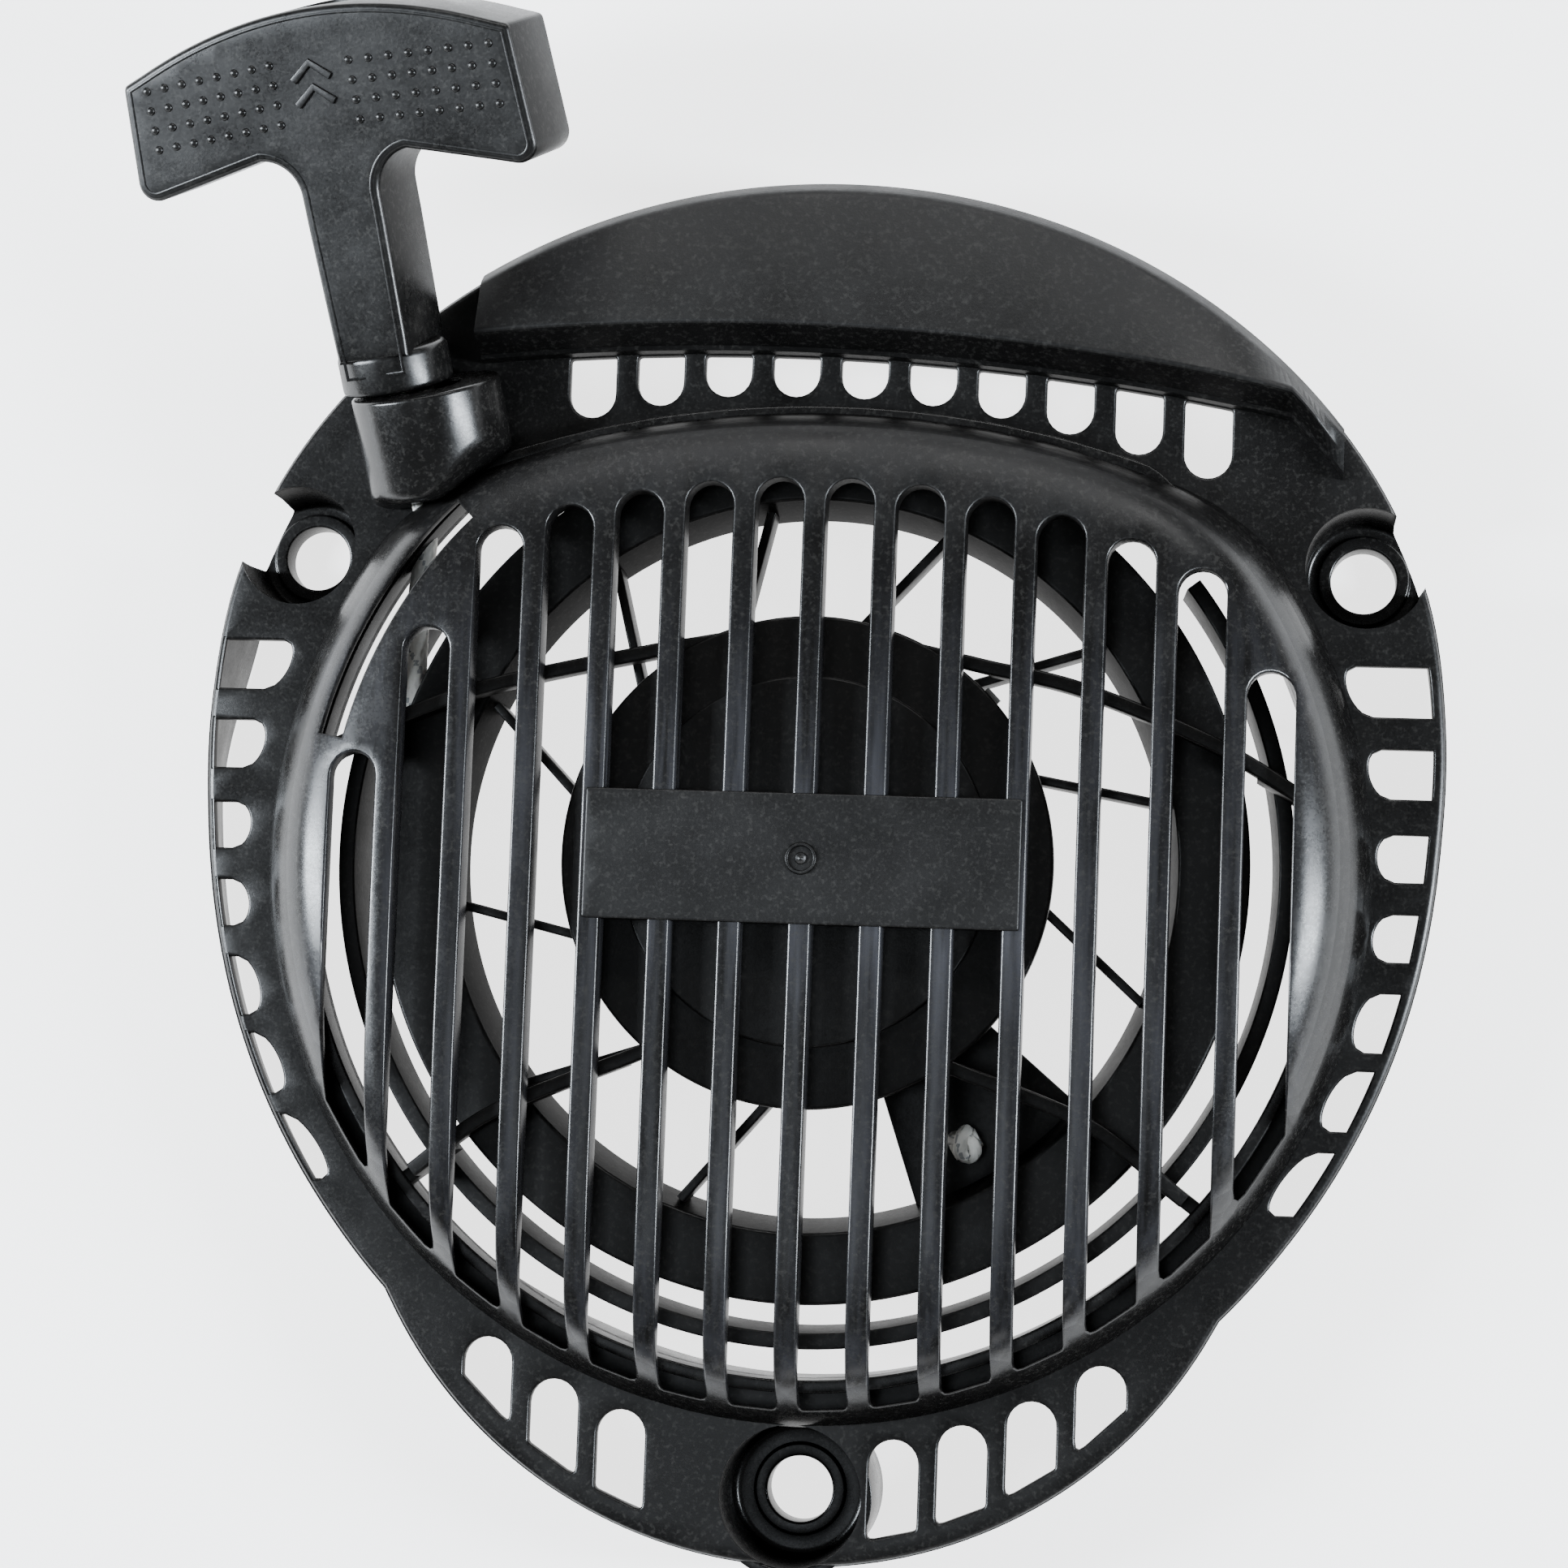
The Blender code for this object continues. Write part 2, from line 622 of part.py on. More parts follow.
def housing(surface):
    deck = outline_wall("deck", outline(deck_radius), outline(shroud_radius),
                        DECK_TOP - WALL, DECK_TOP)
    shell = boolean(dome(), grille_cutters(), "DIFFERENCE")
    body = boolean(deck, [skirt_wall(UPPER_Z, DECK_TOP), shroud_wall(UPPER_Z, SHROUD_TOP), hood()],
                   "UNION")
    body = boolean(body, flange_cutters(), "DIFFERENCE")
    outlet = pull_axis_cylinder("outlet", OUTLET_R, -OUTLET_LENGTH, -0.6 * MM, 28, OUTLET_SHIFT)
    body = boolean(body, [shell, outlet], "UNION")
    walls = [well_wall(angle, UPPER_Z, DECK_TOP - 0.4 * MM) for angle in BOSS_ANGLES]
    body = boolean(body, walls, "UNION")
    body = boolean(body, [well_recess(angle) for angle in BOSS_ANGLES], "DIFFERENCE")
    rope_path = prism("rope_path", [(-75.6 * MM, 30 * MM), (-67.2 * MM, 30 * MM),
                                    (-66.6 * MM, 64 * MM), (-75.6 * MM, 64 * MM)],
                      -21.8 * MM, -14.6 * MM)
    clearance = [disc("pulley_room", PULLEY_R + 1.6 * MM, -60 * MM, -13.1 * MM, 56),
                 pull_axis_cylinder("eyelet_seat", EYELET_R[1] + GAP, -EYELET_LENGTH - GAP, 5 * MM),
                 pull_axis_cylinder("rope_hole", ROPE_HOLE_R, -ROPE_HOLE_LENGTH, 5 * MM)]
    body = boolean(body, clearance, "DIFFERENCE")
    inside = [hoop(), *arms(), disc("hub", HUB_R, HUB_UNDER, HUB_TOP, 36),
              disc("hub_pad", HUB_PAD_R, HUB_TOP - 1 * MM, HUB_PAD_TOP, 36),
              disc("post", POST_R, POST_END, HUB_TOP - 0.5 * MM, 24)]
    body = boolean(body, inside, "UNION")
    width, height, depth = LABEL_SIZE
    plate = prism("label", [(-width / 2, -height / 2), (width / 2, -height / 2),
                            (width / 2, height / 2), (-width / 2, height / 2)], -depth, 0)
    body = boolean(body, [plate], "UNION")
    body = boolean(body, [rope_path, disc("screw_hole", 2.7 * MM, -50 * MM, -15 * MM, 16)],
                   "DIFFERENCE")
    return finish(merged(body), "starter_housing", surface)


# ---- pulley and spring ---------------------------------------------------------------------------
def pulley(surface):
    low, high = PULLEY_Z
    rim = turned("rim", [(PULLEY_INNER_R, low), (PULLEY_R, low), (PULLEY_R, GROOVE_Z[0]),
                         (GROOVE_R, GROOVE_Z[0]), (GROOVE_R, GROOVE_Z[1]), (PULLEY_R, GROOVE_Z[1]),
                         (PULLEY_R, high), (PULLEY_INNER_R + 2.6 * MM, high)], 48)
    cup = turned("cup", [(BORE_R, POST_END), (SLEEVE_R, POST_END),
                         (SLEEVE_R, CUP_Z[0]), (CUP_R[1], CUP_Z[0]), (CUP_R[1], CUP_Z[1]),
                         (CUP_R[0], CUP_Z[1]), (CUP_R[0], CUP_FLOOR), (SLEEVE_R - 1 * MM, CUP_FLOOR),
                         (SLEEVE_R - 1 * MM, -13 * MM), (BORE_R, -13 * MM)], 36)
    pieces = []
    for angle in SPOKE_ANGLES:
        start = polar(CUP_R[1] - 1 * MM, angle)
        end = polar(PULLEY_INNER_R + 1 * MM, angle + SPOKE_SWEEP)
        pieces.append(strip_box("spoke", start, end, SPOKE_WIDTH, *SPOKE_Z))
    first, last = WEB_ANGLES
    angles = [first + (last - first) * step / 6 for step in range(7)]
    sector = [polar(PULLEY_INNER_R + 1 * MM, angle) for angle in angles]
    sector += [polar(CUP_R[1] - 1 * MM, angle) for angle in reversed(angles)]
    pieces.append(prism("web", sector, *WEB_Z))
    for angle in PAWL_ANGLES:
        centre = polar(PAWL_PIVOT_R, angle)
        pieces.append(disc("pivot", PIVOT_PIN_R, PAWL_Z[0], CUP_Z[0] + 0.5 * MM, 16, centre))
    body = boolean(cup, [rim, *pieces], "UNION")
    notch = [polar(CUP_R[side] + reach, SPRING_TAB_ANGLE)
             for side, reach in ((0, -1 * MM), (1, 1 * MM))]
    clearance = strip_box("tab_slot", *notch, 3.8 * MM, -14 * MM, -10 * MM)
    return finish(boolean(body, [clearance], "DIFFERENCE"), "rope_pulley", surface)


def recoil_spring(surface):
    """A flat steel strip wound as a spiral, with an eye bent inwards at its inner end."""
    steps = SPRING_TURNS * 16
    loops = []
    for step in range(steps + 1):
        share = step / steps
        angle = math.radians(360 * SPRING_TURNS * share)
        radius = SPRING_R[0] + (SPRING_R[1] - SPRING_R[0]) * share
        inner, outer = radius, radius + SPRING_THICKNESS
        ray = (math.cos(angle), math.sin(angle))
        loops.append([(inner * ray[0], inner * ray[1], SPRING_Z[0]),
                      (outer * ray[0], outer * ray[1], SPRING_Z[0]),
                      (outer * ray[0], outer * ray[1], SPRING_Z[1]),
                      (inner * ray[0], inner * ray[1], SPRING_Z[1])])
    return finish(loft("recoil_spring", loops), "recoil_spring", surface)


def spring_keeper(surface):
    """A thin steel dish that holds the spring in the pulley, with a tab bent over the edge."""
    wall = 0.6 * MM
    outer = CUP_R[0] - GAP
    floor = CUP_FLOOR + GAP
    dish = turned("keeper", [(SLEEVE_R, floor), (outer, floor), (outer, CUP_Z[1] - 0.8 * MM),
                             (outer - wall, CUP_Z[1] - 0.8 * MM), (outer - wall, floor + wall),
                             (SLEEVE_R, floor + wall)], 36)
    start = polar(outer - 0.5 * wall, SPRING_TAB_ANGLE)
    end = polar(CUP_R[1] + 2.6 * MM, SPRING_TAB_ANGLE)
    tab = strip_box("tab", start, end, 3.2 * MM, -13.4 * MM, -12.4 * MM)
    return finish(boolean(dish, [tab], "UNION"), "spring_keeper", surface)


# ---- pawls, retainer, screw ------------------------------------------------------------------------
def pawl(name, angle, surface):
    """A dog that swings out on its pin: a rounded eye with a curved, hooked arm."""
    eye = PIVOT_PIN_R + GAP
    outer = 5.2 * MM
    centre = Vector(polar(PAWL_PIVOT_R, angle))
    arm = []
    for step in range(9):
        share = step / 8
        at = Vector(polar(PAWL_PIVOT_R - 1.5 * MM * share, angle + 62 * share))
        half = (outer - 0.4 * MM) * (1 - share) + 2.4 * MM * share
        arm.append((at, at.normalized() * half))
    plan = [tuple(at + side) for at, side in arm] + [tuple(at - side) for at, side in arm[::-1]]
    body = prism(name, plan, *PAWL_Z)
    body = boolean(body, [disc("eye", outer, *PAWL_Z, 20, centre)], "UNION")
    low, high = PAWL_Z
    body = boolean(body, [disc("hole", eye, low - MM, high + MM, 20, centre)], "DIFFERENCE")
    return finish(body, name, surface)


def coil(name, centre, radius, wire, turns, low, high, surface, leg=0.0):
    """A small round-wire spring of a few turns about an upright axis."""
    steps = int(turns * 14)
    route = []
    for step in range(steps + 1):
        share = step / steps
        x, y = polar(radius, 360 * turns * share)
        height = low + wire + (high - low - 2 * wire) * share
        route.append(Vector((centre[0] + x, centre[1] + y, height)))
    if leg:
        route.append(route[-1] + Vector((0, leg, 0)))
    loops = []
    for index, point in enumerate(route):
        ahead = route[min(index + 1, len(route) - 1)]
        behind = route[max(index - 1, 0)]
        run = (ahead - behind).normalized()
        side = run.cross(Vector((0, 0, 1))).normalized()
        rise = side.cross(run)
        ring = [polar(wire, 60 * corner) for corner in range(6)]
        loops.append([point + side * x + rise * y for x, y in ring])
    return finish(loft(name, loops), name, surface)


def retainer(surface):
    """A dished plate that holds the pawls on their pins and drags them out."""
    low, high = RETAINER_Z
    plate = turned("plate", [(3.6 * MM, low), (RETAINER_R, low), (RETAINER_R, high),
                             (3.6 * MM, high)], 40)
    lugs = []
    for angle in PAWL_ANGLES:
        start, end = (polar(reach, angle + LUG_ANGLE) for reach in LUG_REACH)
        lugs.append(strip_box("lug", start, end, 3.6 * MM, -31 * MM, high - 0.5 * MM))
    return finish(boolean(plate, lugs, "UNION"), "pawl_retainer", surface)


def centre_screw(surface):
    shank = disc("shank", 2.4 * MM, -37.2 * MM, -16 * MM, 16)
    head = disc("head", 7.0 * MM, -39.4 * MM, -36.4 * MM, 28)
    hexagon = disc("hexagon", 4.6 * MM, -42.2 * MM, -39 * MM, 6)
    return finish(boolean(head, [shank, hexagon], "UNION"), "centre_screw", surface)


def pawl_spring(name, angle, surface):
    """A torsion spring under the pawl's eye, which turns the pawl back in."""
    return coil(name, polar(PAWL_PIVOT_R, angle), 3.7 * MM, 0.3 * MM, 1.4, -26.1 * MM,
                -24.3 * MM, surface, leg=-5 * MM)


def rope_winding(surface):
    """The rope stored in the groove, as one ring of its outer shape."""
    low, high = GROOVE_Z[0] + GAP, GROOVE_Z[1] - GAP
    inner, outer = GROOVE_R + GAP, -ROPE_X - ROPE_R - GAP
    crown = 0.9 * MM
    section = [(inner, low), (outer - crown, low), (outer, low + crown), (outer, high - crown),
               (outer - crown, high), (inner, high)]
    return finish(turned("rope_winding", section, 48), "rope_winding", surface)


# ---- rope and handle ---------------------------------------------------------------------------------
def rope_tube(name, points, surface, sides=2):
    """A round rope through points, with closed ends."""
    curve = bpy.data.curves.new(name, "CURVE")
    curve.dimensions = "3D"
    curve.bevel_depth = ROPE_R
    curve.bevel_resolution = sides
    curve.use_fill_caps = True
    spline = curve.splines.new("POLY")
    spline.points.add(len(points) - 1)
    for place, point in zip(spline.points, points):
        place.co = (*point, 1.0)
    made = bpy.data.objects.new(name, curve)
    bpy.context.scene.collection.objects.link(made)
    curve.materials.append(surface)
    return made


def rope_route(along):
    """From the winding straight up, then in one bend onto the pull axis."""
    points = [Vector((ROPE_X, y * MM, ROPE_Z)) for y in (-4, 4, 12, 20, 28, 36, 44)]
    start = points[-1]
    end = HANDLE_FOOT - along * 22 * MM
    reach = (end - start).length * 0.45
    for step in range(1, 5):
        t = step / 4
        a, b, c, d = start, start + Vector((0, reach, 0)), end - along * reach, end
        points.append(a * (1 - t) ** 3 + b * 3 * t * (1 - t) ** 2 + c * 3 * t * t * (1 - t)
                      + d * t ** 3)
    points += [HANDLE_FOOT - along * back * MM for back in (15, 8, 0.6)]
    return points


def grip_outline():
    """The T shape in its own plane: across, along the pull axis."""
    half = []
    half.append((STEM_HALF_WIDTH, COLLAR_HEIGHT - 1 * MM))
    half.append((STEM_HALF_WIDTH + 0.6 * MM, 33 * MM))
    fillet = 7 * MM
    centre = (STEM_HALF_WIDTH + 0.6 * MM + fillet, GRIP_UNDER - fillet)
    for step in range(1, 6):
        dx, dy = polar(fillet, 180 - 18 * step)
        half.append((centre[0] + dx, centre[1] + dy))
    corner = 3.4 * MM
    low = (GRIP_HALF_WIDTH - corner, GRIP_END_UNDER + corner)
    for degrees in (-100, -70, -35, 0):
        dx, dy = polar(corner, degrees)
        half.append((low[0] + dx, low[1] + dy))
    half.append((GRIP_HALF_WIDTH - 1.6 * MM, GRIP_END_TOP - 1.4 * MM))
    half.append((GRIP_HALF_WIDTH - 3 * MM, GRIP_END_TOP))
    sag = GRIP_TOP - GRIP_END_TOP
    for share in (0.75, 0.5, 0.25):
        half.append((share * (GRIP_HALF_WIDTH - 3 * MM), GRIP_TOP - sag * share ** 2))
    other = [(-x, y) for x, y in half[::-1]]
    return half + [(0, GRIP_TOP)] + other


def laid_along(made):
    """Turns a piece modelled about Z so that it lies about Y."""
    return oriented(made, Vector((0, 0, 0)), Vector((1, 0, 0)), Vector((0, 0, -1)),
                    Vector((0, 1, 0)))


def knot(name, centre, across, along, normal, surface):
    """A tight overhand knot as a short, waisted turned body."""
    section = [(1.9, -2.6), (3.5, -1.5), (3.5, -0.4), (2.9, 0.2), (3.6, 0.9), (3.2, 2.2), (1.7, 2.8)]
    loops = [[(*polar(radius * MM, 30 * step), height * MM) for step in range(12)]
             for radius, height in section]
    made = loft(name, loops)
    return finish(oriented(made, centre, across, -normal, along), name, surface)


def handle_knot(across, along, normal, surface):
    centre = HANDLE_FOOT + along * (KNOT_SEAT + 3.2 * MM)
    return knot("handle_knot", centre, across, along, normal, surface)


def pulley_knot(surface):
    """The rope's inner end, knotted in the pocket beside the rim."""
    centre = Vector((*polar(KNOT_R, KNOT_ANGLE), WEB_Z[1] + KNOT_SIZE + GAP))
    radial = Vector((*polar(1, KNOT_ANGLE), 0))
    tangent = Vector((-radial.y, radial.x, 0))
    return knot("pulley_rope_knot", centre, radial, tangent, Vector((0, 0, 1)), surface)


def grip_plug(across, along, normal, surface):
    """The plug that closes the knot's pocket in the top of the handle."""
    made = disc("plug", POCKET_R - GAP, KNOT_SEAT + 6.6 * MM, GRIP_TOP - 1.2 * MM, 20)
    return finish(oriented(made, HANDLE_FOOT, across, -normal, along), "handle_plug", surface)


def grip(across, along, normal, surface):
    plan = grip_outline()
    depth = GRIP_HALF_DEPTH
    edge = 1.2 * MM
    inset = []
    for index, point in enumerate(plan):
        ahead, behind = Vector(plan[(index + 1) % len(plan)]), Vector(plan[index - 1])
        run = (ahead - behind).normalized()
        inset.append(tuple(Vector(point) + Vector((-run.y, run.x)) * edge))
    loops = []
    for shape, height in ((inset, -depth), (plan, -depth + edge), (plan, depth - edge),
                          (inset, depth)):
        loops.append([(x, y, height) for x, y in shape])
    body = loft("grip", loops)
    collar = disc("collar", COLLAR_R, 0, COLLAR_HEIGHT, 28)
    body = boolean(body, [laid_along(collar)], "UNION")
    bore = disc("bore", ROPE_R + 0.5 * MM, -1 * MM, KNOT_SEAT + 1 * MM, 14)
    pocket = disc("pocket", POCKET_R, KNOT_SEAT, 90 * MM, 20)
    body = boolean(body, [laid_along(bore), laid_along(pocket)], "DIFFERENCE")
    return finish(oriented(body, HANDLE_FOOT, across, along, normal), "pull_handle", surface)


def main():
    clear_scene()
    plastic = material("black_moulded_plastic", BLACK_PLASTIC, 0.38)
    handle_plastic = material("black_handle_plastic", BLACK_PLASTIC, 0.45)
    steel = material("spring_steel", STEEL, 0.3, 1.0)
    zinc = material("zinc_plated_steel", (0.62, 0.62, 0.6), 0.35, 1.0)
    nylon = material("grey_nylon", (0.10, 0.10, 0.11), 0.5)
    cord = material("braided_rope", (0.62, 0.62, 0.58), 0.85)
    across, along, normal = pull_frame()
    housing(plastic)
    for name in SKIRT_SPANS:
        skirt(name, plastic)
    for name, angle in BOSSES.items():
        bolt_boss(name, angle, plastic)
    shroud(plastic)
    eyelet = tube("eyelet", EYELET_R[0], EYELET_R[1], -EYELET_LENGTH, -0.6 * MM, 24)
    finish(oriented(eyelet, HANDLE_FOOT, across, -normal, along), "rope_eyelet", zinc)

    spin = empty("pulley_spin_axis", (0, 0, PULLEY_Z[0]))
    for piece in (pulley(plastic), spring_keeper(zinc), recoil_spring(steel), rope_winding(cord),
                  pulley_knot(cord)):
        attach(piece, spin)
    drag = empty("retainer_axis", (0, 0, RETAINER_Z[0]), spin)
    attach(retainer(nylon), drag)
    for letter, angle in zip("ab", PAWL_ANGLES):
        swing = empty("pawl_axis_" + letter, (*polar(PAWL_PIVOT_R, angle), PAWL_Z[0]), spin)
        attach(pawl("pawl_" + letter, angle, zinc), swing)
        attach(pawl_spring("pawl_spring_" + letter, angle, steel), spin)
    washer = tube("washer", 3.0 * MM, 14 * MM, -29.6 * MM, -28.3 * MM, 28)
    finish(washer, "thrust_washer", zinc)
    coil("brake_spring", (0, 0), 5.4 * MM, 0.35 * MM, 2.5, -33.1 * MM, -29.9 * MM, steel)
    centre_screw(zinc)

    pull = empty("handle_slide_axis", tuple(HANDLE_FOOT))
    attach(grip(across, along, normal, handle_plastic), pull)
    attach(grip_plug(across, along, normal, plastic), pull)
    rope_tube("rope_run", rope_route(along), cord)
    inside = [HANDLE_FOOT + along * reach * MM for reach in (0.2, 12, 24, 36, 50.6)]
    attach(rope_tube("handle_rope", inside, cord), pull)
    attach(handle_knot(across, along, normal, cord), pull)


if __name__ == "__main__":
    main()
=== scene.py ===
"""A pull-rope recoil starter on a pale light table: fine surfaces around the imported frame."""

import math

import bmesh
import bpy
import numpy as np
from mathutils import Matrix, Vector, geometry


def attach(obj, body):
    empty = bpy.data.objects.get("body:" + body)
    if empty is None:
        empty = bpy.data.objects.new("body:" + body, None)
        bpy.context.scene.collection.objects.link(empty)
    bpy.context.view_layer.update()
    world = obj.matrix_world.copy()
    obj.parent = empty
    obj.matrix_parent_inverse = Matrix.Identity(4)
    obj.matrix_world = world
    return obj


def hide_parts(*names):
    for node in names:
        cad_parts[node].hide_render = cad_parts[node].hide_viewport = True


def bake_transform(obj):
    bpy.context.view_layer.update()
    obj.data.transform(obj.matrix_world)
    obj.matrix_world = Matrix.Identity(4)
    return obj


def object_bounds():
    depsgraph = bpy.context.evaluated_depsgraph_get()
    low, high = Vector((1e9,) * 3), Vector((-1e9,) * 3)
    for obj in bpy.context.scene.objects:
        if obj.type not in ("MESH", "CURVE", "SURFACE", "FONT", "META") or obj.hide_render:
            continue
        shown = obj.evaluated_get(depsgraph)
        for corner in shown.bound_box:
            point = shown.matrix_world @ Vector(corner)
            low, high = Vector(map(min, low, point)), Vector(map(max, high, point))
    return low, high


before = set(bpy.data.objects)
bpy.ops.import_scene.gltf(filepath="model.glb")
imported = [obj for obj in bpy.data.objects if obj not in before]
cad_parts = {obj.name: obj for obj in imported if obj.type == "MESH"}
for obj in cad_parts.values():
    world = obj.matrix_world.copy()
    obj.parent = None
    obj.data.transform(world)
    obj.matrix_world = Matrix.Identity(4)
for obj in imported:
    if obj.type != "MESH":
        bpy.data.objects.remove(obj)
cad_low, cad_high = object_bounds()

MM = 0.001

# ---- sizes of the moulding, in metres, in the row frame ----
MOUNT_Z = -44 * MM
DECK_TOP = -20 * MM
DECK_EDGE = 1.1 * MM                 # rounding where the flange turns down into the skirt
WALL = 2.4 * MM
RIM_SIDE = [(-90, 106.0), (-55, 106.0), (-35, 105.2), (-15, 106.2), (2, 108.7), (14, 112.5),
            (26, 117.0), (40, 119.8), (60, 121.0), (90, 121.0)]
LOBE_CENTRE_Y = -40 * MM
LOBE_R = 81.5 * MM
DOME_R = 97.5 * MM
DOME_TOP_CENTRE_Y = -96.5 * MM
DOME_TOP_R = 176.5 * MM
# the dome's section: inset from its foot at the top arc, inset at the sides, height
DOME_OUTSIDE = [(0, 0, -21.2), (0.5, 1.2, -17.0), (1.1, 3.2, -12.5), (4, 8, -6.2), (9, 13, -3.3),
                (18, 21, -1.7), (30, 30, -1.0), (60, 60, -0.9), (200, 200, -0.9)]
DOME_INSIDE_TOP = -7 * MM
PITCH = 12.15 * MM
SLOT_WIDTH = 8.3 * MM
SLOT_COLUMNS = 7
SLOT_TOP_R = 162.5 * MM
SLOT_BOTTOM_R = 94 * MM
SHORT_SLOT_TOPS = {-7: 16.4 * MM, -6: 38.6 * MM, 6: 34.4 * MM}
ROPE_WINDOW = (83.5 * MM, 88 * MM, 136, 167)
LABEL_SIZE = (75 * MM, 22.4 * MM, 3.4 * MM)
TOP_SLOTS = [(-3.5, 88.4, 78.8), (-2.5, 89.8, 81.2), (-1.5, 90.6, 83.0), (-0.5, 90.7, 83.2),
             (0.5, 90.8, 83.0), (1.5, 90.2, 82.0), (2.5, 89.2, 80.0), (3.5, 87.8, 77.4),
             (4.5, 86.0, 74.0), (5.5, 83.4, 70.0)]
SIDE_SLOT_Y = [33.2, 18.9, 4.3, -9.5, -24.2, -37.8, -52.3]
SIDE_SLOT_HEIGHT = [8.8, 8.6, 8.2, 8.2, 10.2, 10.4, 11.0]
SIDE_SLOT_FOOT = {-1: 3.6 * MM, 1: 0.5 * MM}
SIDE_SLOT_EDGE = {-1: 1.25 * MM, 1: 2.4 * MM}
SKIRT_WALL = 1.2 * MM
SKIRT_LEAN = 4.4 * MM                # of the left wall's foot outwards, as moulding draft
SKIRT_LEAN_SPAN = (158, 176, 236, 256)
BOTTOM_SLOT_X = [-54.0, -42.0, -30.0, 17.8, 29.6, 41.4, 53.2]
BOTTOM_SLOT_WIDTH = 8.6 * MM
BOLT_CIRCLE_R = 109.5 * MM
BOSS_ANGLES = (30, 150, 270)
BOLT_HOLE_R = 5.8 * MM
BOSS_R = 8.2 * MM
BOSS_LIP = 0.9 * MM
BOSS_TOP = -38 * MM
WELL_R = {30: 10.6 * MM, 150: 10.6 * MM, 270: 12.4 * MM}
WELL_WALL = 1.8 * MM
HUB_R = 42.7 * MM
HUB_TOP = -8 * MM
HUB_UNDER = -10.6 * MM
HUB_PAD_R = 32 * MM
HUB_PAD_TOP = -6.7 * MM
POST_R = 8.8 * MM
POST_END = -28 * MM
SHROUD_R = 89 * MM
SHROUD_GAP = 1.8 * MM                # at least, from the dome's foot
SHROUD_WALL = 2.2 * MM
SHROUD_TOP = -13.2 * MM
SHROUD_END = -34 * MM
SHROUD_LOW_END = -22 * MM
SHROUD_LOW_SPAN = (118, 128, 232, 250)
HOOP_R = (81.2 * MM, 84 * MM)
HOOP_Z = (-27 * MM, -17 * MM)
HOOP_ANGLES = (-218, 38)
ARM_WIDTH = 2.5 * MM
ARMS = [[(-14, 38.6), (-28, 36), (-59, 28.5), (-84, 18)],
        [(14.3, 38), (31, 34.4), (47, 31), (70, 22), (87, 12)],
        [(-23, -31.8), (-30, -34.9), (-53, -45), (-74, -61)],
        [(20.4, -32.4), (28.8, -35.5), (50, -43.5), (75, -62)]]
ARM_Z = (-13 * MM, -8.4 * MM)
ARM_FOOT_R = 79.5 * MM
ARM_FOOT_Z = -19 * MM
RIDGE_X = -15 * MM
RIDGE_Y = 94 * MM
RIDGE_R = 450 * MM
RIDGE_TOP = -8 * MM
RIDGE_RUN = 3.4 * MM
HOOD_RIM_Z = -14 * MM
HOOD_ANGLES = (41, 121)
HOOD_TAPER = 47
HOOD_WALL = 3.1 * MM

# ---- sizes of the pulley, the rope and the handle ----
PULLEY_R = 76.2 * MM
GROOVE_R = 66 * MM
PULLEY_INNER_R = 61.3 * MM
PULLEY_Z = (-23.3 * MM, -13.8 * MM)
GROOVE_Z = (-21 * MM, -16 * MM)
CUP_R = (38.6 * MM, 41 * MM)
CUP_Z = (-24 * MM, -11.4 * MM)
CUP_FLOOR = -21.4 * MM
BORE_R = 9.1 * MM
SLEEVE_R = 12 * MM
SPOKE_ANGLES = [81.8, 51.6, 24.2, -7.9, -96.2, -127.5, -158.9, 167.9, 138.3, 111.3]
SPOKE_SWEEP = -13
SPOKE_WIDTH = 1.6 * MM
SPOKE_Z = (-21.5 * MM, -15 * MM)
WEB_ANGLES = (-71, -40)
WEB_Z = (-23.3 * MM, -21.3 * MM)
PAWL_ANGLES = (20, 200)
PAWL_PIVOT_R = 22 * MM
PIVOT_PIN_R = 2.6 * MM
PIVOT_PIN_END = -31.5 * MM
KNOT_ANGLE = -59
KNOT_R = 55.5 * MM
ROPE_R = 2.0 * MM
BRAID_STRANDS = 8
BRAID_PITCH = 9.0 * MM
ROPE_Z = -18.5 * MM
ROPE_X = -71.9 * MM
HANDLE_FOOT = Vector((-75.2, 81.8, -9.0)) * MM
AXIS_LEAN = 10.5
AXIS_RISE = 19.5
HANDLE_TWIST = 12.5
OUTLET_R = 13.2 * MM
OUTLET_SHIFT = 4.8 * MM
OUTLET_LENGTH = 24 * MM
OUTLET_SLANT = 5 * MM
OUTLET_SIDE_SLANT = 8 * MM
COLLAR_R = 9.8 * MM
COLLAR_HEIGHT = 7.2 * MM
GRIP_HALF_WIDTH = 37 * MM
GRIP_HALF_DEPTH = 9.5 * MM
STEM_HALF_WIDTH = 6.6 * MM
GRIP_UNDER = 43 * MM
GRIP_END_UNDER = 39 * MM
GRIP_END_TOP = 60 * MM
GRIP_TOP = 67.5 * MM
KNOT_SEAT = 51 * MM
POCKET_R = 6.2 * MM
ROPE_BORE_R = ROPE_R + 0.5 * MM
GRIP_EDGE = 1.0 * MM
GRIP_FILLET = 7 * MM
GRIP_CORNER = 3.4 * MM
RIGHT_END_DROP = (1.4 * MM, 3 * MM)  # of the bar's underside at the stem and at its end
# grip dots, in mm: side, first column, pitch and top row
DOT_GRIDS = ((-1, -31.6, 3.35, 60.6), (1, 6.4, 3.65, 58.4))
DOT_R = 0.75 * MM
MARK_TALL = 0.45 * MM
CHEVRON = [(-4.2, 51.4), (-0.8, 54.2), (2.6, 51.4)]
CHEVRON_LIFTS = (0, 4.2)

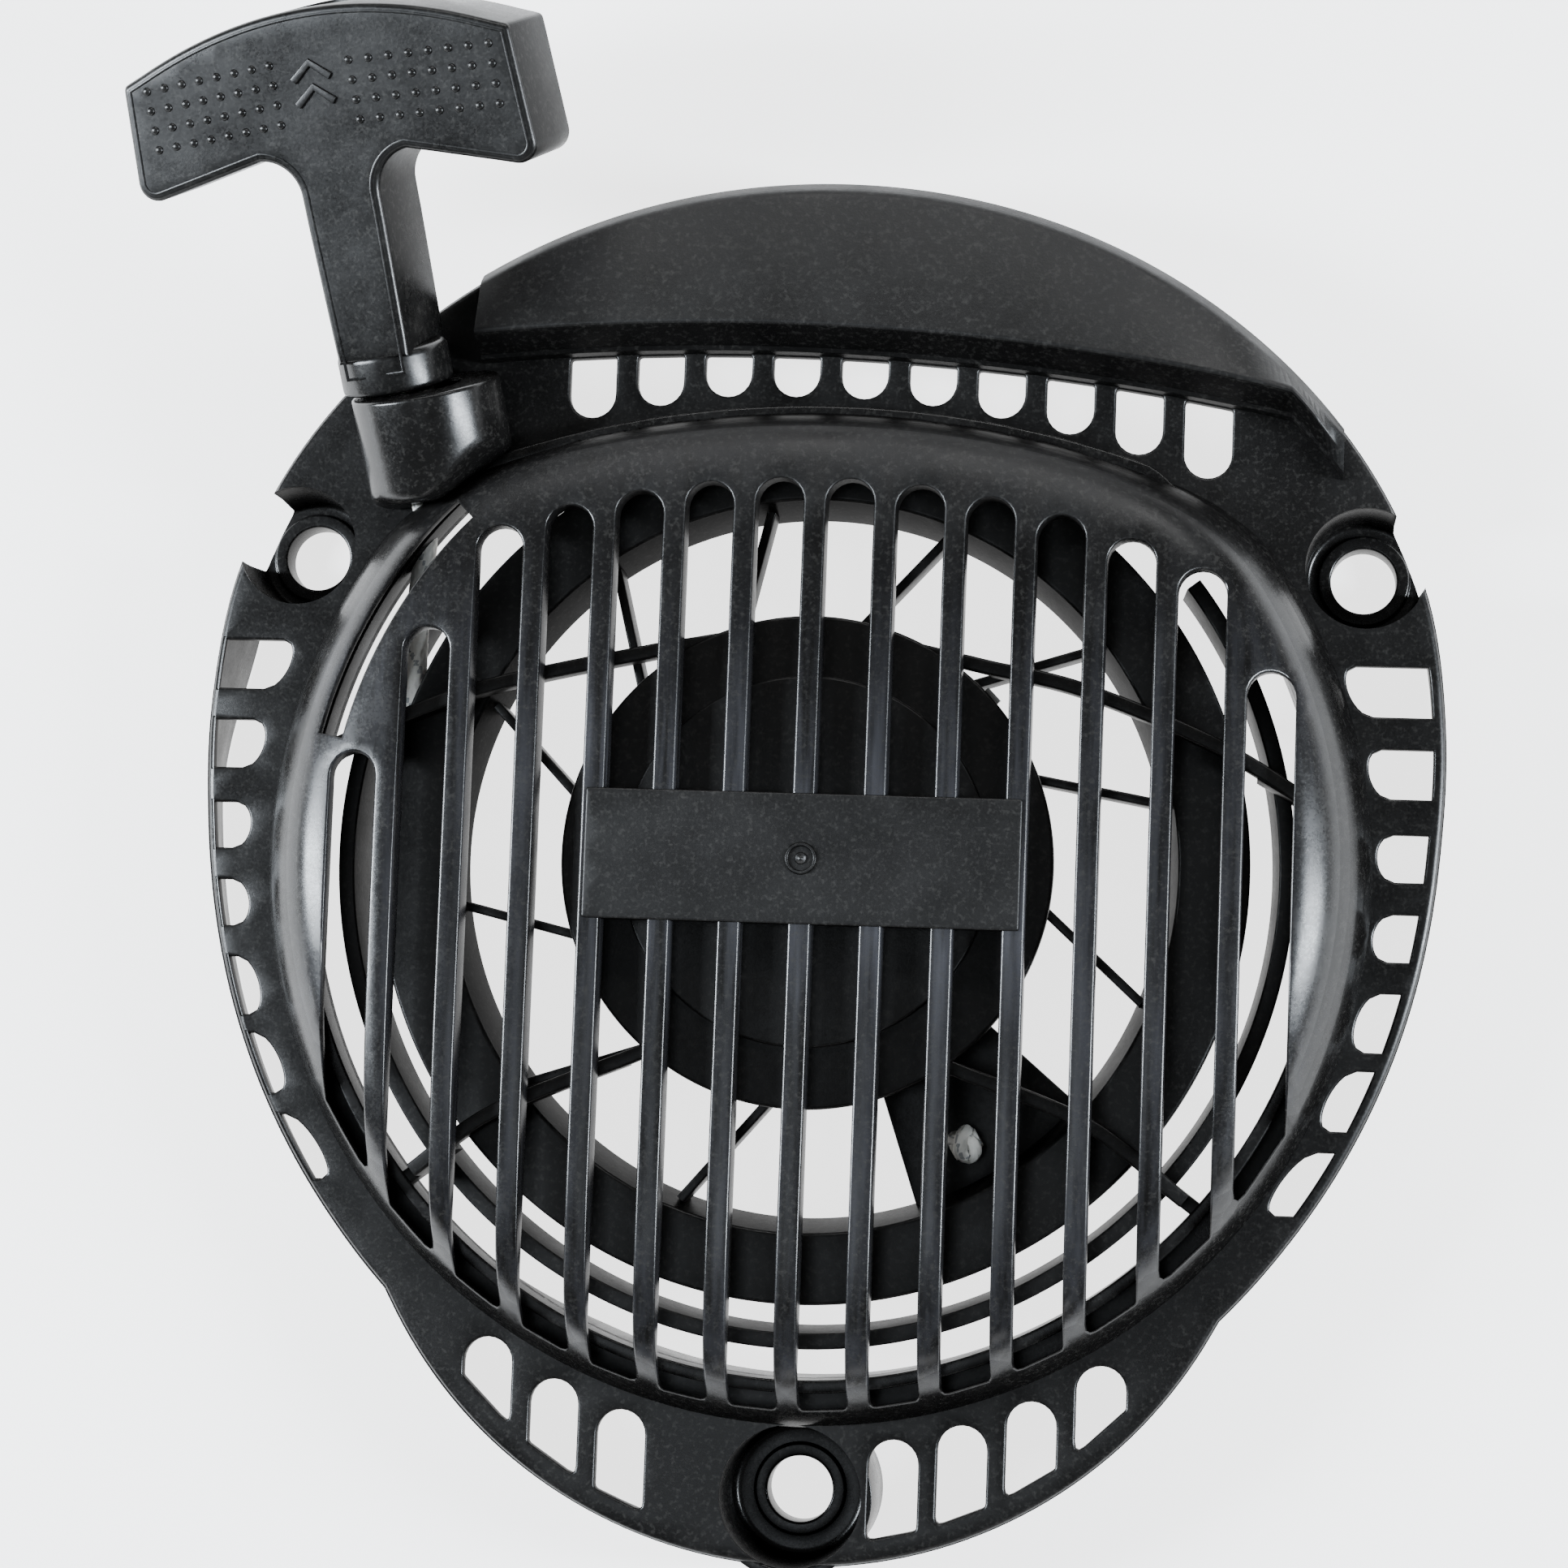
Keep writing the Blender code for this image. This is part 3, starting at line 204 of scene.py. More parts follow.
# ---- colours, linear ----
BLACK = (0.0046, 0.0044, 0.0043)
HANDLE_BLACK = (0.0048, 0.0047, 0.0046)
GREY_NYLON = (0.10, 0.10, 0.11)
# a bluish grey that paints a sheen onto the grille's bars
PAINTED_SHEEN = (0.055, 0.056, 0.064)
DUST = (0.030, 0.029, 0.027)
ZINC = (0.62, 0.62, 0.60)
SPRING_STEEL = (0.42, 0.43, 0.46)
YARN, TRACER_YARN = (0.78, 0.77, 0.72), (0.26, 0.27, 0.28)
ROPE_DIRT, ROPE_FLUFF = (0.22, 0.2, 0.17), (0.8, 0.8, 0.77)
PLASTIC_GRAIN = 0.025 * MM

# ---- camera and light, in metres, millimetres of lens and watts ----
CAMERA_PLACE = (0.07473, -0.04453, 0.68765)
CAMERA_RIGHT = Vector((0.9933, 0.0372, -0.1097))
CAMERA_BACK = Vector((0.1124, -0.0823, 0.9902))
SENSOR = 36
LENS = 93.38
COOL, WHITE = (0.86, 0.93, 1.0), (1, 1, 1)
LAMPS = [("strip_left", (-0.78, 0.02, 0.47), (-0.08, 0, 0), (0.16, 0.5), 20, COOL),
         ("strip_right", (0.86, -0.06, 0.47), (0.08, 0, 0), (0.16, 0.5), 20, COOL),
         ("soft_overhead", (-0.10, -0.10, 0.80), (0, -0.02, 0), (0.2, 0.24), 0.24, COOL),
         ("strip_back", (0.05, 0.80, 0.62), (0, 0.08, 0), (0.9, 0.12), 3.5, WHITE),
         ("fill_front", (0.1, -0.9, 0.35), (0, 0, 0), (0.6, 0.2), 0.7, WHITE)]
SKY_GLOW = {"From Min": 0.02, "From Max": 0.16, "To Min": 1.1, "To Max": 0.07}
FLOOR_SIZE = 25
FLOOR_GLOW = 2.5

# ---- fineness ----
ROUND_STEPS = 3                      # bands in a rounded edge
RIM_STEPS = 288                      # points round the moulding's outline
ROPE_SIDES = 48                      # points round a rope
EDGE = 0.45 * MM                     # rounding of moulded edges
FILL_SPACING = 2.6 * MM              # between the points that a plate is filled with
BELOW, ABOVE = -60 * MM, 5 * MM      # heights that a cutter reaches past the moulding


# ---- meshes ----
def polar(radius, degrees):
    angle = math.radians(degrees)
    return radius * math.cos(angle), radius * math.sin(angle)


def circle(radius, count, centre=(0, 0)):
    steps = [polar(radius, 360 * step / count) for step in range(count)]
    return [(centre[0] + x, centre[1] + y) for x, y in steps]


def mesh_piece(name, shells, surface, smooth_angle=38, merge=0.004 * MM):
    """One object from several (points, faces) shells, its faces turned outwards shell by shell."""
    edit = bmesh.new()
    for points, faces in shells:
        part = bmesh.new()
        corners = [part.verts.new(point) for point in points]
        for face in faces:
            try:
                part.faces.new([corners[index] for index in face])
            except ValueError:
                pass
        bmesh.ops.remove_doubles(part, verts=part.verts, dist=merge)
        bmesh.ops.recalc_face_normals(part, faces=part.faces)
        lump = bpy.data.meshes.new("lump")
        part.to_mesh(lump)
        part.free()
        edit.from_mesh(lump)
        bpy.data.meshes.remove(lump)
    mesh = bpy.data.meshes.new(name)
    edit.to_mesh(mesh)
    edit.free()
    made = bpy.data.objects.new(name, mesh)
    bpy.context.scene.collection.objects.link(made)
    mesh.materials.append(surface)
    mesh.shade_smooth()
    mesh.set_sharp_from_angle(angle=math.radians(smooth_angle))
    return made


def loft(loops, closed=False, caps=True):
    """Quads through loops of equal length, capped at both ends unless closed into a ring."""
    count = len(loops[0])
    points = [tuple(point) for loop in loops for point in loop]
    faces = []
    last = len(loops) if closed else len(loops) - 1
    for row in range(last):
        here, there = row * count, ((row + 1) % len(loops)) * count
        for step in range(count):
            after = (step + 1) % count
            faces.append((here + step, here + after, there + after, there + step))
    if caps and not closed:
        faces.append(tuple(range(count)))
        faces.append(tuple((len(loops) - 1) * count + step for step in range(count)))
    return points, faces


def rounded(path, radius, steps=4, closed=True):
    """The corners of a flat path, each replaced by an arc; radius is one number or one for each."""
    result = []
    count = len(path)
    radii = radius if isinstance(radius, (list, tuple)) else [radius] * count
    for index in range(count):
        corner = Vector(path[index])
        before, after = Vector(path[index - 1]), Vector(path[(index + 1) % count])
        if (not closed and index in (0, count - 1)) or radii[index] <= 0:
            result.append(tuple(corner))
            continue
        into, out = (before - corner), (after - corner)
        half = into.angle(out) / 2
        reach = min(radii[index] / math.tan(half), into.length * 0.49, out.length * 0.49)
        first = corner + into.normalized() * reach
        last = corner + out.normalized() * reach
        for step in range(steps + 1):
            t = step / steps
            result.append(tuple(first * (1 - t) ** 2 + corner * 2 * t * (1 - t) + last * t * t))
    return result


def turned(section, steps=96):
    """A ring turned about the Z axis from a closed (radius, height) section."""
    loops = []
    for step in range(steps):
        angle = 360 * step / steps
        loops.append([(*polar(radius, angle), height) for radius, height in section])
    return loft(loops, closed=True)


def joined(shells):
    """Several shells as one."""
    points, faces = [], []
    for more_points, more_faces in shells:
        base = len(points)
        points += more_points
        faces += [tuple(base + index for index in face) for face in more_faces]
    return points, faces


def changed(shell, change):
    """A shell with each of its points moved by a function."""
    points, faces = shell
    return [change(point) for point in points], faces


def shifted(shell, centre):
    """A shell moved over the plan to a centre."""
    return changed(shell, lambda point: (point[0] + centre[0], point[1] + centre[1], point[2]))


def spread(first, last, count):
    """Evenly spaced values from first to last, both among them."""
    return [first + (last - first) * step / count for step in range(count + 1)]


def moved(shell, origin, across, along, normal):
    points, faces = shell
    return [origin + across * x + along * y + normal * z for x, y, z in points], faces


def area_of(loop):
    return sum(a[0] * b[1] - b[0] * a[1] for a, b in zip(loop, loop[1:] + loop[:1])) / 2


def offset(loop, grow):
    """A flat loop grown outwards, each point along the mean of its two sides' normals."""
    if grow == 0:
        return list(loop)
    sign = 1 if area_of(loop) > 0 else -1
    result = []
    for index, (x, y) in enumerate(loop):
        bx, by = loop[index - 1]
        ax, ay = loop[(index + 1) % len(loop)]
        one = Vector((y - by, bx - x)).normalized()
        two = Vector((ay - y, x - ax)).normalized()
        middle = (one + two).normalized()
        reach = grow * sign / max(0.5, middle.dot(one))
        result.append((x + middle.x * reach, y + middle.y * reach))
    return result


def inside(points, loop):
    """For each of many points, whether it lies inside a flat loop."""
    ring = np.array(loop)
    x0, y0 = ring[:, 0], ring[:, 1]
    x1, y1 = np.roll(x0, -1), np.roll(y0, -1)
    px, py = points[:, 0:1], points[:, 1:2]
    spans = (y0 > py) != (y1 > py)
    rise = np.where(y1 == y0, 1e-12, y1 - y0)
    crossing = px < (x1 - x0) * (py - y0) / rise + x0
    return (spans & crossing).sum(axis=1) % 2 == 1


def clearance(points, loops):
    """Distance from each of many points to the nearest of several loops."""
    best = np.full(len(points), 1e9)
    for loop in loops:
        start = np.array(loop)
        run = np.roll(start, -1, axis=0) - start
        length = np.maximum((run ** 2).sum(axis=1), 1e-18)
        gap = points[:, None, :] - start[None, :, :]
        share = np.clip((gap * run[None]).sum(axis=2) / length, 0, 1)
        near = gap - share[:, :, None] * run[None]
        best = np.minimum(best, np.sqrt((near ** 2).sum(axis=2)).min(axis=1))
    return best


def filled(outer, holes, height, spots):
    """Triangles over the region inside outer and outside the holes, through the given spots."""
    loops = [outer] + list(holes)
    keep = inside(spots, outer)
    for hole in holes:
        keep &= ~inside(spots, hole)
    spots = spots[keep]
    spots = spots[clearance(spots, loops) > 1.0 * MM]
    verts, edges = [], []
    for loop in loops:
        first = len(verts)
        verts += [Vector(point) for point in loop]
        edges += [(first + i, first + (i + 1) % len(loop)) for i in range(len(loop))]
    verts += [Vector((x, y)) for x, y in spots]
    out, _, triangles, *_ = geometry.delaunay_2d_cdt(verts, edges, [], 0, 1e-7)
    flat = np.array([(v.x, v.y) for v in out])
    corners = np.array(triangles)
    middles = flat[corners].mean(axis=1)
    keep = inside(middles, outer)
    for hole in holes:
        keep &= ~inside(middles, hole)
    points = [(x, y, height(x, y)) for x, y in flat]
    return points, [tuple(int(i) for i in corner) for corner in corners[keep]]


def plate(outer, holes, top, under, spots, edge=EDGE, outer_edge=None):
    """A plate pierced by holes, between two heights, with rounded upper edges."""
    shells = []
    outer_edge = edge if outer_edge is None else outer_edge
    uppers = []
    for loop, sign, size in [(outer, -1, outer_edge)] + [(hole, 1, edge) for hole in holes]:
        rings = [[(x, y, under(x, y)) for x, y in loop]]
        for step in range(ROUND_STEPS + 1):
            turn = math.pi / 2 * step / ROUND_STEPS
            grown = offset(loop, sign * size * (1 - math.cos(turn)))
            drop = size * (1 - math.sin(turn))
            rings.append([(x, y, top(x, y) - drop) for x, y in grown])
        uppers.append(grown)
        shells.append(loft(rings, caps=False))
    shells.append(filled(uppers[0], uppers[1:], top, spots))
    shells.append(filled(outer, holes, under, spots))
    return joined(shells)


def spots_over(reach, spacing=FILL_SPACING):
    """A triangular grid of points over a square."""
    rows = int(reach / (spacing * 0.866))
    columns = int(reach / spacing)
    return np.array([((column + 0.5 * (row % 2)) * spacing, row * spacing * 0.866)
                     for row in range(-rows, rows + 1) for column in range(-columns, columns + 1)])


# ---- outlines of the moulding ----
def through(points, at):
    """A smooth curve through (place, value) points, read at one place."""
    index = 0
    while index < len(points) - 2 and at > points[index + 1][0]:
        index += 1
    (x0, y0), (x1, y1) = points[index], points[index + 1]
    before = points[max(index - 1, 0)]
    after = points[min(index + 2, len(points) - 1)]
    slope0 = (y1 - before[1]) / (x1 - before[0])
    slope1 = (after[1] - y0) / (after[0] - x0)
    t = (at - x0) / (x1 - x0)
    span = x1 - x0
    return ((2 * t ** 3 - 3 * t ** 2 + 1) * y0 + (t ** 3 - 2 * t ** 2 + t) * span * slope0
            + (3 * t ** 2 - 2 * t ** 3) * y1 + (t ** 3 - t ** 2) * span * slope1)


def offset_circle(centre_y, radius, degrees):
    angle = math.radians(degrees)
    return centre_y * math.sin(angle) + math.sqrt(radius ** 2 - (centre_y * math.cos(angle)) ** 2)


def folded(degrees):
    """The same direction on the +X side, from -90 to 90 degrees."""
    return 90 - abs(90 - (degrees + 90) % 360 + 90)


def rim_radius(degrees):
    side = folded(degrees)
    radius = through(RIM_SIDE, side) * MM
    if side < -30:
        radius = max(radius, offset_circle(LOBE_CENTRE_Y, LOBE_R, side))
    return radius


def dome_radius(degrees):
    side = folded(degrees)
    if side < 0:
        return DOME_R
    arc = offset_circle(DOME_TOP_CENTRE_Y, DOME_TOP_R, side)
    blend = 6 * MM
    mix = max(blend - abs(arc - DOME_R), 0) / blend
    return min(arc, DOME_R) - mix * mix * blend / 4


def shroud_radius(degrees):
    return min(SHROUD_R, dome_radius(degrees) - SHROUD_GAP)


def ridge_y(x):
    return RIDGE_Y - (x - RIDGE_X) ** 2 / (2 * RIDGE_R)


def deck_radius(degrees):
    """The rim, or the foot of the ridge where the hood stands."""
    radius = rim_radius(degrees) - 1 * MM
    if HOOD_ANGLES[0] < degrees < HOOD_ANGLES[1]:
        sine, cosine = math.sin(math.radians(degrees)), math.cos(math.radians(degrees))
        reach = radius
        for _ in range(8):
            reach = (ridge_y(reach * cosine) - RIDGE_RUN + 1 * MM) / sine
        radius = min(radius, reach)
    return radius


def outline(radius_of, change=0.0, steps=RIM_STEPS):
    return [polar(radius_of(360 * step / steps) + change, 360 * step / steps)
            for step in range(steps)]


def ring_wall(section, radius_of, steps=RIM_STEPS):
    """A wall along an outline from a closed section of (distance inside the outline, height)."""
    loops = []
    for step in range(steps):
        angle = 360 * step / steps
        radius = radius_of(angle)
        loops.append([(*polar(radius - depth, angle), height) for depth, height in section])
    return loft(loops, closed=True)


# ---- the dome and its grille ----
def dome_top(x, y):
    """Height of the dome's outer surface over a point."""
    degrees = math.degrees(math.atan2(y, x))
    inset = (dome_radius(degrees) - math.hypot(x, y)) / MM
    share = min(1, max(0, (math.sin(math.radians(degrees)) - 0.5) / 0.4))
    share = share * share * (3 - 2 * share)
    section = [(side + (top - side) * share, height) for top, side, height in DOME_OUTSIDE]
    if inset <= 0:
        return section[0][1] * MM
    return through(section, inset) * MM


def dome_under(x, y):
    return min(dome_top(x, y) - WALL, DOME_INSIDE_TOP)


def run(start, end, spacing=3 * MM):
    """Points from start up to, but not at, end."""
    length = math.hypot(end[0] - start[0], end[1] - start[1])
    count = max(1, round(length / spacing))
    return [(start[0] + (end[0] - start[0]) * i / count, start[1] + (end[1] - start[1]) * i / count)
            for i in range(count)]


def closed_path(corners, spacing=3 * MM):
    """A closed path through its corners with points along the long sides."""
    result = []
    for start, end in zip(corners, corners[1:] + corners[:1]):
        result += run(start, end, spacing)
    return result


def slot(x, top, bottom, width, round_top=True, round_bottom=False, corner=1.0 * MM):
    """An upright slot; top and bottom give the height of an end at a place across it."""
    half = width / 2
    corners = []
    arcs = [180 - 180 * step / 12 for step in range(13)]
    if round_bottom:
        corners += [(x - dx, bottom(x) + half - dy) for dx, dy in (polar(half, a) for a in arcs)]
    else:
        square = [(x + half, bottom(x + half)), (x - half, bottom(x - half))]
        above = (x - half, bottom(x) + 30 * MM)
        right = (x + half, bottom(x) + 30 * MM)
        corners += rounded([right, *square, above], corner, 3, closed=False)[1:-1]
    if round_top:
        corners += [(x + dx, top(x) - half + dy) for dx, dy in (polar(half, a) for a in arcs)]
    else:
        square = [(x - half, top(x - half)), (x + half, top(x + half))]
        below = (x - half, top(x) - 30 * MM)
        right = (x + half, top(x) - 30 * MM)
        corners += rounded([below, *square, right], corner, 3, closed=False)[1:-1]
    return closed_path(corners)


def grille_slots():
    slots = []
    for column in range(-SLOT_COLUMNS, SLOT_COLUMNS):
        x = (column + 0.5) * PITCH
        top = SHORT_SLOT_TOPS.get(
            column, DOME_TOP_CENTRE_Y + math.sqrt(SLOT_TOP_R ** 2 - x ** 2))
        slots.append(slot(x, lambda _, y=top: y,
                          lambda at: -math.sqrt(SLOT_BOTTOM_R ** 2 - at ** 2), SLOT_WIDTH))
    return slots


def rope_window():
    inner, outer, first, last = ROPE_WINDOW
    angles = spread(first, last, 16)
    return [polar(outer, a) for a in angles] + [polar(inner, a) for a in reversed(angles)]


def dome_spots():
    rings = []
    for inset in (0.5, 1.1, 1.9, 3.0, 4.4, 6.2, 8.4, 10.8):
        rings += outline(dome_radius, -inset * MM, 200)
    grid = spots_over(100 * MM)
    depth = np.array([dome_radius(math.degrees(math.atan2(y, x))) - math.hypot(x, y)
                      for x, y in grid])
    return np.vstack([np.array(rings), grid[depth > 12.5 * MM]])


# ---- the flange ----
def side_slot(side, middle, height):
    """A slot between the dome's foot and the rim, rounded at its inner end."""
    inner, outer = [], []
    for step in range(13):
        y = middle + height * (step / 12 - 0.5)
        angle = math.degrees(math.asin(max(-1, min(1, y / DOME_R))))
        foot = math.sqrt(dome_radius(angle) ** 2 - y * y) + SIDE_SLOT_FOOT[side]
        edge = rim_radius(math.degrees(math.atan2(y, 105 * MM))) - SIDE_SLOT_EDGE[side]
        corner = 1 - math.sqrt(max(0, 1 - (step / 6 - 1) ** 2))
        inner.append((side * (foot + 3 * MM * corner), y))
        outer.append((side * math.sqrt(edge ** 2 - y * y), y))
    return inner + outer[::-1]


def flange_slots():
    slots = []
    for column, top, bottom in TOP_SLOTS:
        x = column * PITCH
        slots.append(slot(x, lambda at: ridge_y(at) - 3.6 * MM, lambda _, y=bottom: y * MM,
                          SLOT_WIDTH, round_top=False, round_bottom=True, corner=0.6 * MM))
    for x in BOTTOM_SLOT_X:
        foot = -math.sqrt(DOME_R ** 2 - (x * MM) ** 2) - 3 * MM
        slots.append(slot(
            x * MM, lambda _, y=foot: y,
            lambda at: LOBE_CENTRE_Y - math.sqrt((LOBE_R - 4.0 * MM) ** 2 - at ** 2),
            BOTTOM_SLOT_WIDTH))
    for side in (-1, 1):
        for middle, height in zip(SIDE_SLOT_Y, SIDE_SLOT_HEIGHT):
            slots.append(side_slot(side, middle * MM, height * MM))
    return slots


def carve(shell, cutters):
    """A shell with other shells cut out of it, given back as a shell."""
    made = mesh_piece("carved", [shell], None)
    for cutter in cutters:
        tool = mesh_piece("cutter", [cutter], None)
        step = made.modifiers.new("cut", "BOOLEAN")
        step.operation = "DIFFERENCE"
        step.solver = "EXACT"
        step.object = tool
        bpy.context.view_layer.update()
        mesh = bpy.data.meshes.new_from_object(
            made.evaluated_get(bpy.context.evaluated_depsgraph_get()))
        made.modifiers.remove(step)
        made.data = mesh
        bpy.data.objects.remove(tool)
    points = [tuple(vertex.co) for vertex in made.data.vertices]
    faces = [tuple(face.vertices) for face in made.data.polygons]
    bpy.data.objects.remove(made)
    return points, faces


def cylinder(radius, low, high, centre=(0, 0), steps=96):
    ring = circle(radius, steps, centre)
    return loft([[(x, y, z) for x, y in ring] for z in (low, high)])


def bar(route, width, low, high, edge=EDGE):
    """A rounded bar of a constant height along a route seen from above."""
    path = [Vector(point) for point in route]
    half, middle = width / 2, (low + high) / 2
    tall = (high - low) / 2
    section = rounded([(-half, -tall), (half, -tall), (half, tall), (-half, tall)], edge, 3)
    loops = []
    for index, point in enumerate(path):
        ahead, behind = path[min(index + 1, len(path) - 1)], path[max(index - 1, 0)]
        along = (ahead - behind).normalized()
        side = Vector((-along.y, along.x))
        loops.append([(point.x + side.x * x, point.y + side.y * x, middle + z)
                      for x, z in section])
    return loft(loops)


def smooth_route(corners, steps=10):
    """Points along a smooth curve through plan points."""
    points = [Vector(corner) for corner in corners]
    result = []
    for index in range(len(points) - 1):
        before = points[max(index - 1, 0)]
        start, end = points[index], points[index + 1]
        after = points[min(index + 2, len(points) - 1)]
        for step in range(steps):
            t = step / steps
            result.append(tuple(0.5 * (2 * start + (end - before) * t
                                       + (2 * before - 5 * start + 4 * end - after) * t * t
                                       + (3 * start - before - 3 * end + after) * t ** 3)))
    return result + [tuple(points[-1])]


# ---- camera, light and floor ----
def camera():
    back = CAMERA_BACK.normalized()
    right = (CAMERA_RIGHT - back * CAMERA_RIGHT.dot(back)).normalized()
    up = back.cross(right)
    data = bpy.data.cameras.new("camera")
    data.lens, data.sensor_width = LENS, SENSOR
    data.clip_start, data.clip_end = 0.01, 20
    made = bpy.data.objects.new("camera", data)
    made.matrix_world = Matrix.Translation(CAMERA_PLACE) @ Matrix(
        (right, up, back)).transposed().to_4x4()
    bpy.context.scene.collection.objects.link(made)
    bpy.context.scene.camera = made


def lamp(name, place, target, size, power, colour):
    data = bpy.data.lights.new(name, "AREA")
    data.shape = "RECTANGLE"
    data.size, data.size_y = size
    data.energy = power
    data.color = colour
    made = bpy.data.objects.new(name, data)
    made.location = place
    made.rotation_mode = "QUATERNION"
    made.rotation_quaternion = (Vector(target) - Vector(place)).to_track_quat("-Z", "Y")
    bpy.context.scene.collection.objects.link(made)


def adjust(node, values):
    """Sets a node's own inputs by name."""
    for name, value in values.items():
        node.inputs[name].default_value = value
    return node


def studio():
    """A light table under a dim sky that glows at the horizon, and five soft lamps."""
    world = bpy.data.worlds.new("studio")
    world.use_nodes = True
    sky = world.node_tree.nodes["Background"]
    sky.inputs["Color"].default_value = (1, 1, 1, 1)
    tree = world.node_tree
    direction = tree.nodes.new("ShaderNodeTexCoord")
    split = tree.nodes.new("ShaderNodeSeparateXYZ")
    fade = tree.nodes.new("ShaderNodeMapRange")
    fade.interpolation_type = "SMOOTHSTEP"
    adjust(fade, SKY_GLOW)
    tree.links.new(direction.outputs["Generated"], split.inputs["Vector"])
    tree.links.new(split.outputs["Z"], fade.inputs["Value"])
    tree.links.new(fade.outputs["Result"], sky.inputs["Strength"])
    bpy.context.scene.world = world
    for settings in LAMPS:
        lamp(*settings)
    floor_z = cad_low.z - 0.5 * MM
    corners = [(x * FLOOR_SIZE, y * FLOOR_SIZE, floor_z)
               for x, y in ((-1, -1), (1, -1), (1, 1), (-1, 1))]
    mesh = bpy.data.meshes.new("floor")
    mesh.from_pydata(corners, [], [(0, 1, 2, 3)])
    floor = bpy.data.objects.new("floor", mesh)
    bpy.context.scene.collection.objects.link(floor)
    surface = bpy.data.materials.new("light_table")
    surface.use_nodes = True
    adjust(surface.node_tree.nodes["Principled BSDF"],
           {"Base Color": (0.82, 0.82, 0.82, 1), "Roughness": 0.9,
            "Emission Color": (1, 1, 1, 1), "Emission Strength": FLOOR_GLOW})
    mesh.materials.append(surface)


# ---- materials ----
class Nodes:
    """A material's node tree, built node by node."""

    def __init__(self, name):
        self.material = bpy.data.materials.new(name)
        self.material.use_nodes = True
        self.tree = self.material.node_tree
        self.shader = self.tree.nodes["Principled BSDF"]
        self.place = self.add("ShaderNodeTexCoord").outputs["Object"]

    def add(self, kind, **settings):
        node = self.tree.nodes.new(kind)
        for key, value in settings.items():
            setattr(node, key, value)
        return node

    def link(self, start, end):
        self.tree.links.new(start, end)

    def noise(self, scale, detail=2.0, roughness=0.5, stretch=None):
        node = adjust(self.add("ShaderNodeTexNoise"),
                      {"Scale": scale, "Detail": detail, "Roughness": roughness})
        place = self.place
        if stretch:
            mapping = adjust(self.add("ShaderNodeMapping"), {"Scale": stretch})
            self.link(place, mapping.inputs["Vector"])
            place = mapping.outputs["Vector"]
        self.link(place, node.inputs["Vector"])
        return node.outputs["Fac"]

    def ramp(self, value, low, high, out_low=0.0, out_high=1.0):
        node = adjust(self.add("ShaderNodeMapRange"), {"From Min": low, "From Max": high,
                                                       "To Min": out_low, "To Max": out_high})
        self.link(value, node.inputs["Value"])
        return node.outputs["Result"]

    def feed(self, socket, value):
        """Gives an input a number or a colour of its own, or links an output to it."""
        if isinstance(value, tuple):
            socket.default_value = (*value, 1.0)
        elif isinstance(value, (int, float)):
            socket.default_value = value
        else:
            self.link(value, socket)

    def maths(self, operation, *values):
        node = self.add("ShaderNodeMath", operation=operation)
        for socket, value in zip(node.inputs, values):
            self.feed(socket, value)
        return node.outputs["Value"]

    def mix(self, share, one, two):
        node = self.add("ShaderNodeMix", data_type="RGBA")
        for name, value in (("Factor", share), ("A", one), ("B", two)):
            self.feed(node.inputs[name], value)
        return node.outputs["Result"]

    def bump(self, height, distance, strength=1.0, below=None):
        node = adjust(self.add("ShaderNodeBump"), {"Distance": distance})
        self.feed(node.inputs["Strength"], strength)
        self.link(height, node.inputs["Height"])
        if below:
            self.link(below, node.inputs["Normal"])
        return node.outputs["Normal"]

    def attribute(self, name):
        return self.add("ShaderNodeAttribute", attribute_name=name).outputs["Fac"]


def moulded_plastic(name, colour, rough, grain, shade=0.35):
    """Injection-moulded plastic: spark-eroded grain, flow marks, smudges, and a painted bluish
    sheen laid in streaks where a piece's sheen number is high.
    """
    n = Nodes(name)
    fine = n.noise(1900, 3, 0.6)
    flow = n.noise(26, 4, 0.55, (1.0, 0.35, 1.0))
    smudge = n.noise(75, 5, 0.65)
    streak = n.noise(420, 3, 0.6, (1.0, 0.06, 1.0))
    # a painted sheen: bluish grey laid in streaks where the piece's sheen number is high
    painted_sheen = n.attribute("painted_sheen")
    painted_sheen_share = n.maths("MULTIPLY", painted_sheen, n.ramp(streak, 0.35, 0.75))
    tone = n.ramp(flow, 0.3, 0.7, 1 - shade, 1 + shade)
    base = n.mix(n.ramp(smudge, 0.42, 0.75, 0.0, 0.5), colour, tuple(c * 1.9 for c in colour))
    base = n.mix(painted_sheen_share, base, PAINTED_SHEEN)
    base = n.mix(n.ramp(n.noise(950, 2, 0.7), 0.52, 0.72, 0.0, 0.55), base, DUST)
    scaled = n.add("ShaderNodeVectorMath", operation="SCALE")
    n.link(base, scaled.inputs["Vector"])
    n.link(tone, scaled.inputs["Scale"])
    n.link(scaled.outputs["Vector"], n.shader.inputs["Base Color"])
    dull = n.attribute("matte")
    uneven = n.ramp(smudge, 0.3, 0.7, rough - 0.05, rough + 0.08)
    gloss = n.maths("ADD", uneven, n.maths("MULTIPLY", dull, 0.22))
    gloss = n.maths("ADD", gloss, n.ramp(fine, 0.3, 0.7, -0.04, 0.04))
    n.link(gloss, n.shader.inputs["Roughness"])
    # a look adjustment: upright faces mirror less, so the light table doesn't show in the walls
    facing = n.add("ShaderNodeSeparateXYZ")
    n.link(n.add("ShaderNodeNewGeometry").outputs["True Normal"], facing.inputs["Vector"])
    level = n.maths("ABSOLUTE", facing.outputs["Z"])
    n.link(n.ramp(level, 0.35, 0.78, 0.02, 0.42), n.shader.inputs["Specular IOR Level"])
    strength = n.maths("ADD", n.maths("MULTIPLY", dull, 0.7), 0.3)
    coarse = n.bump(n.noise(300, 2, 0.5), 0.03 * MM, 0.35)
    n.link(n.bump(fine, grain, strength, coarse), n.shader.inputs["Normal"])
    return n.material


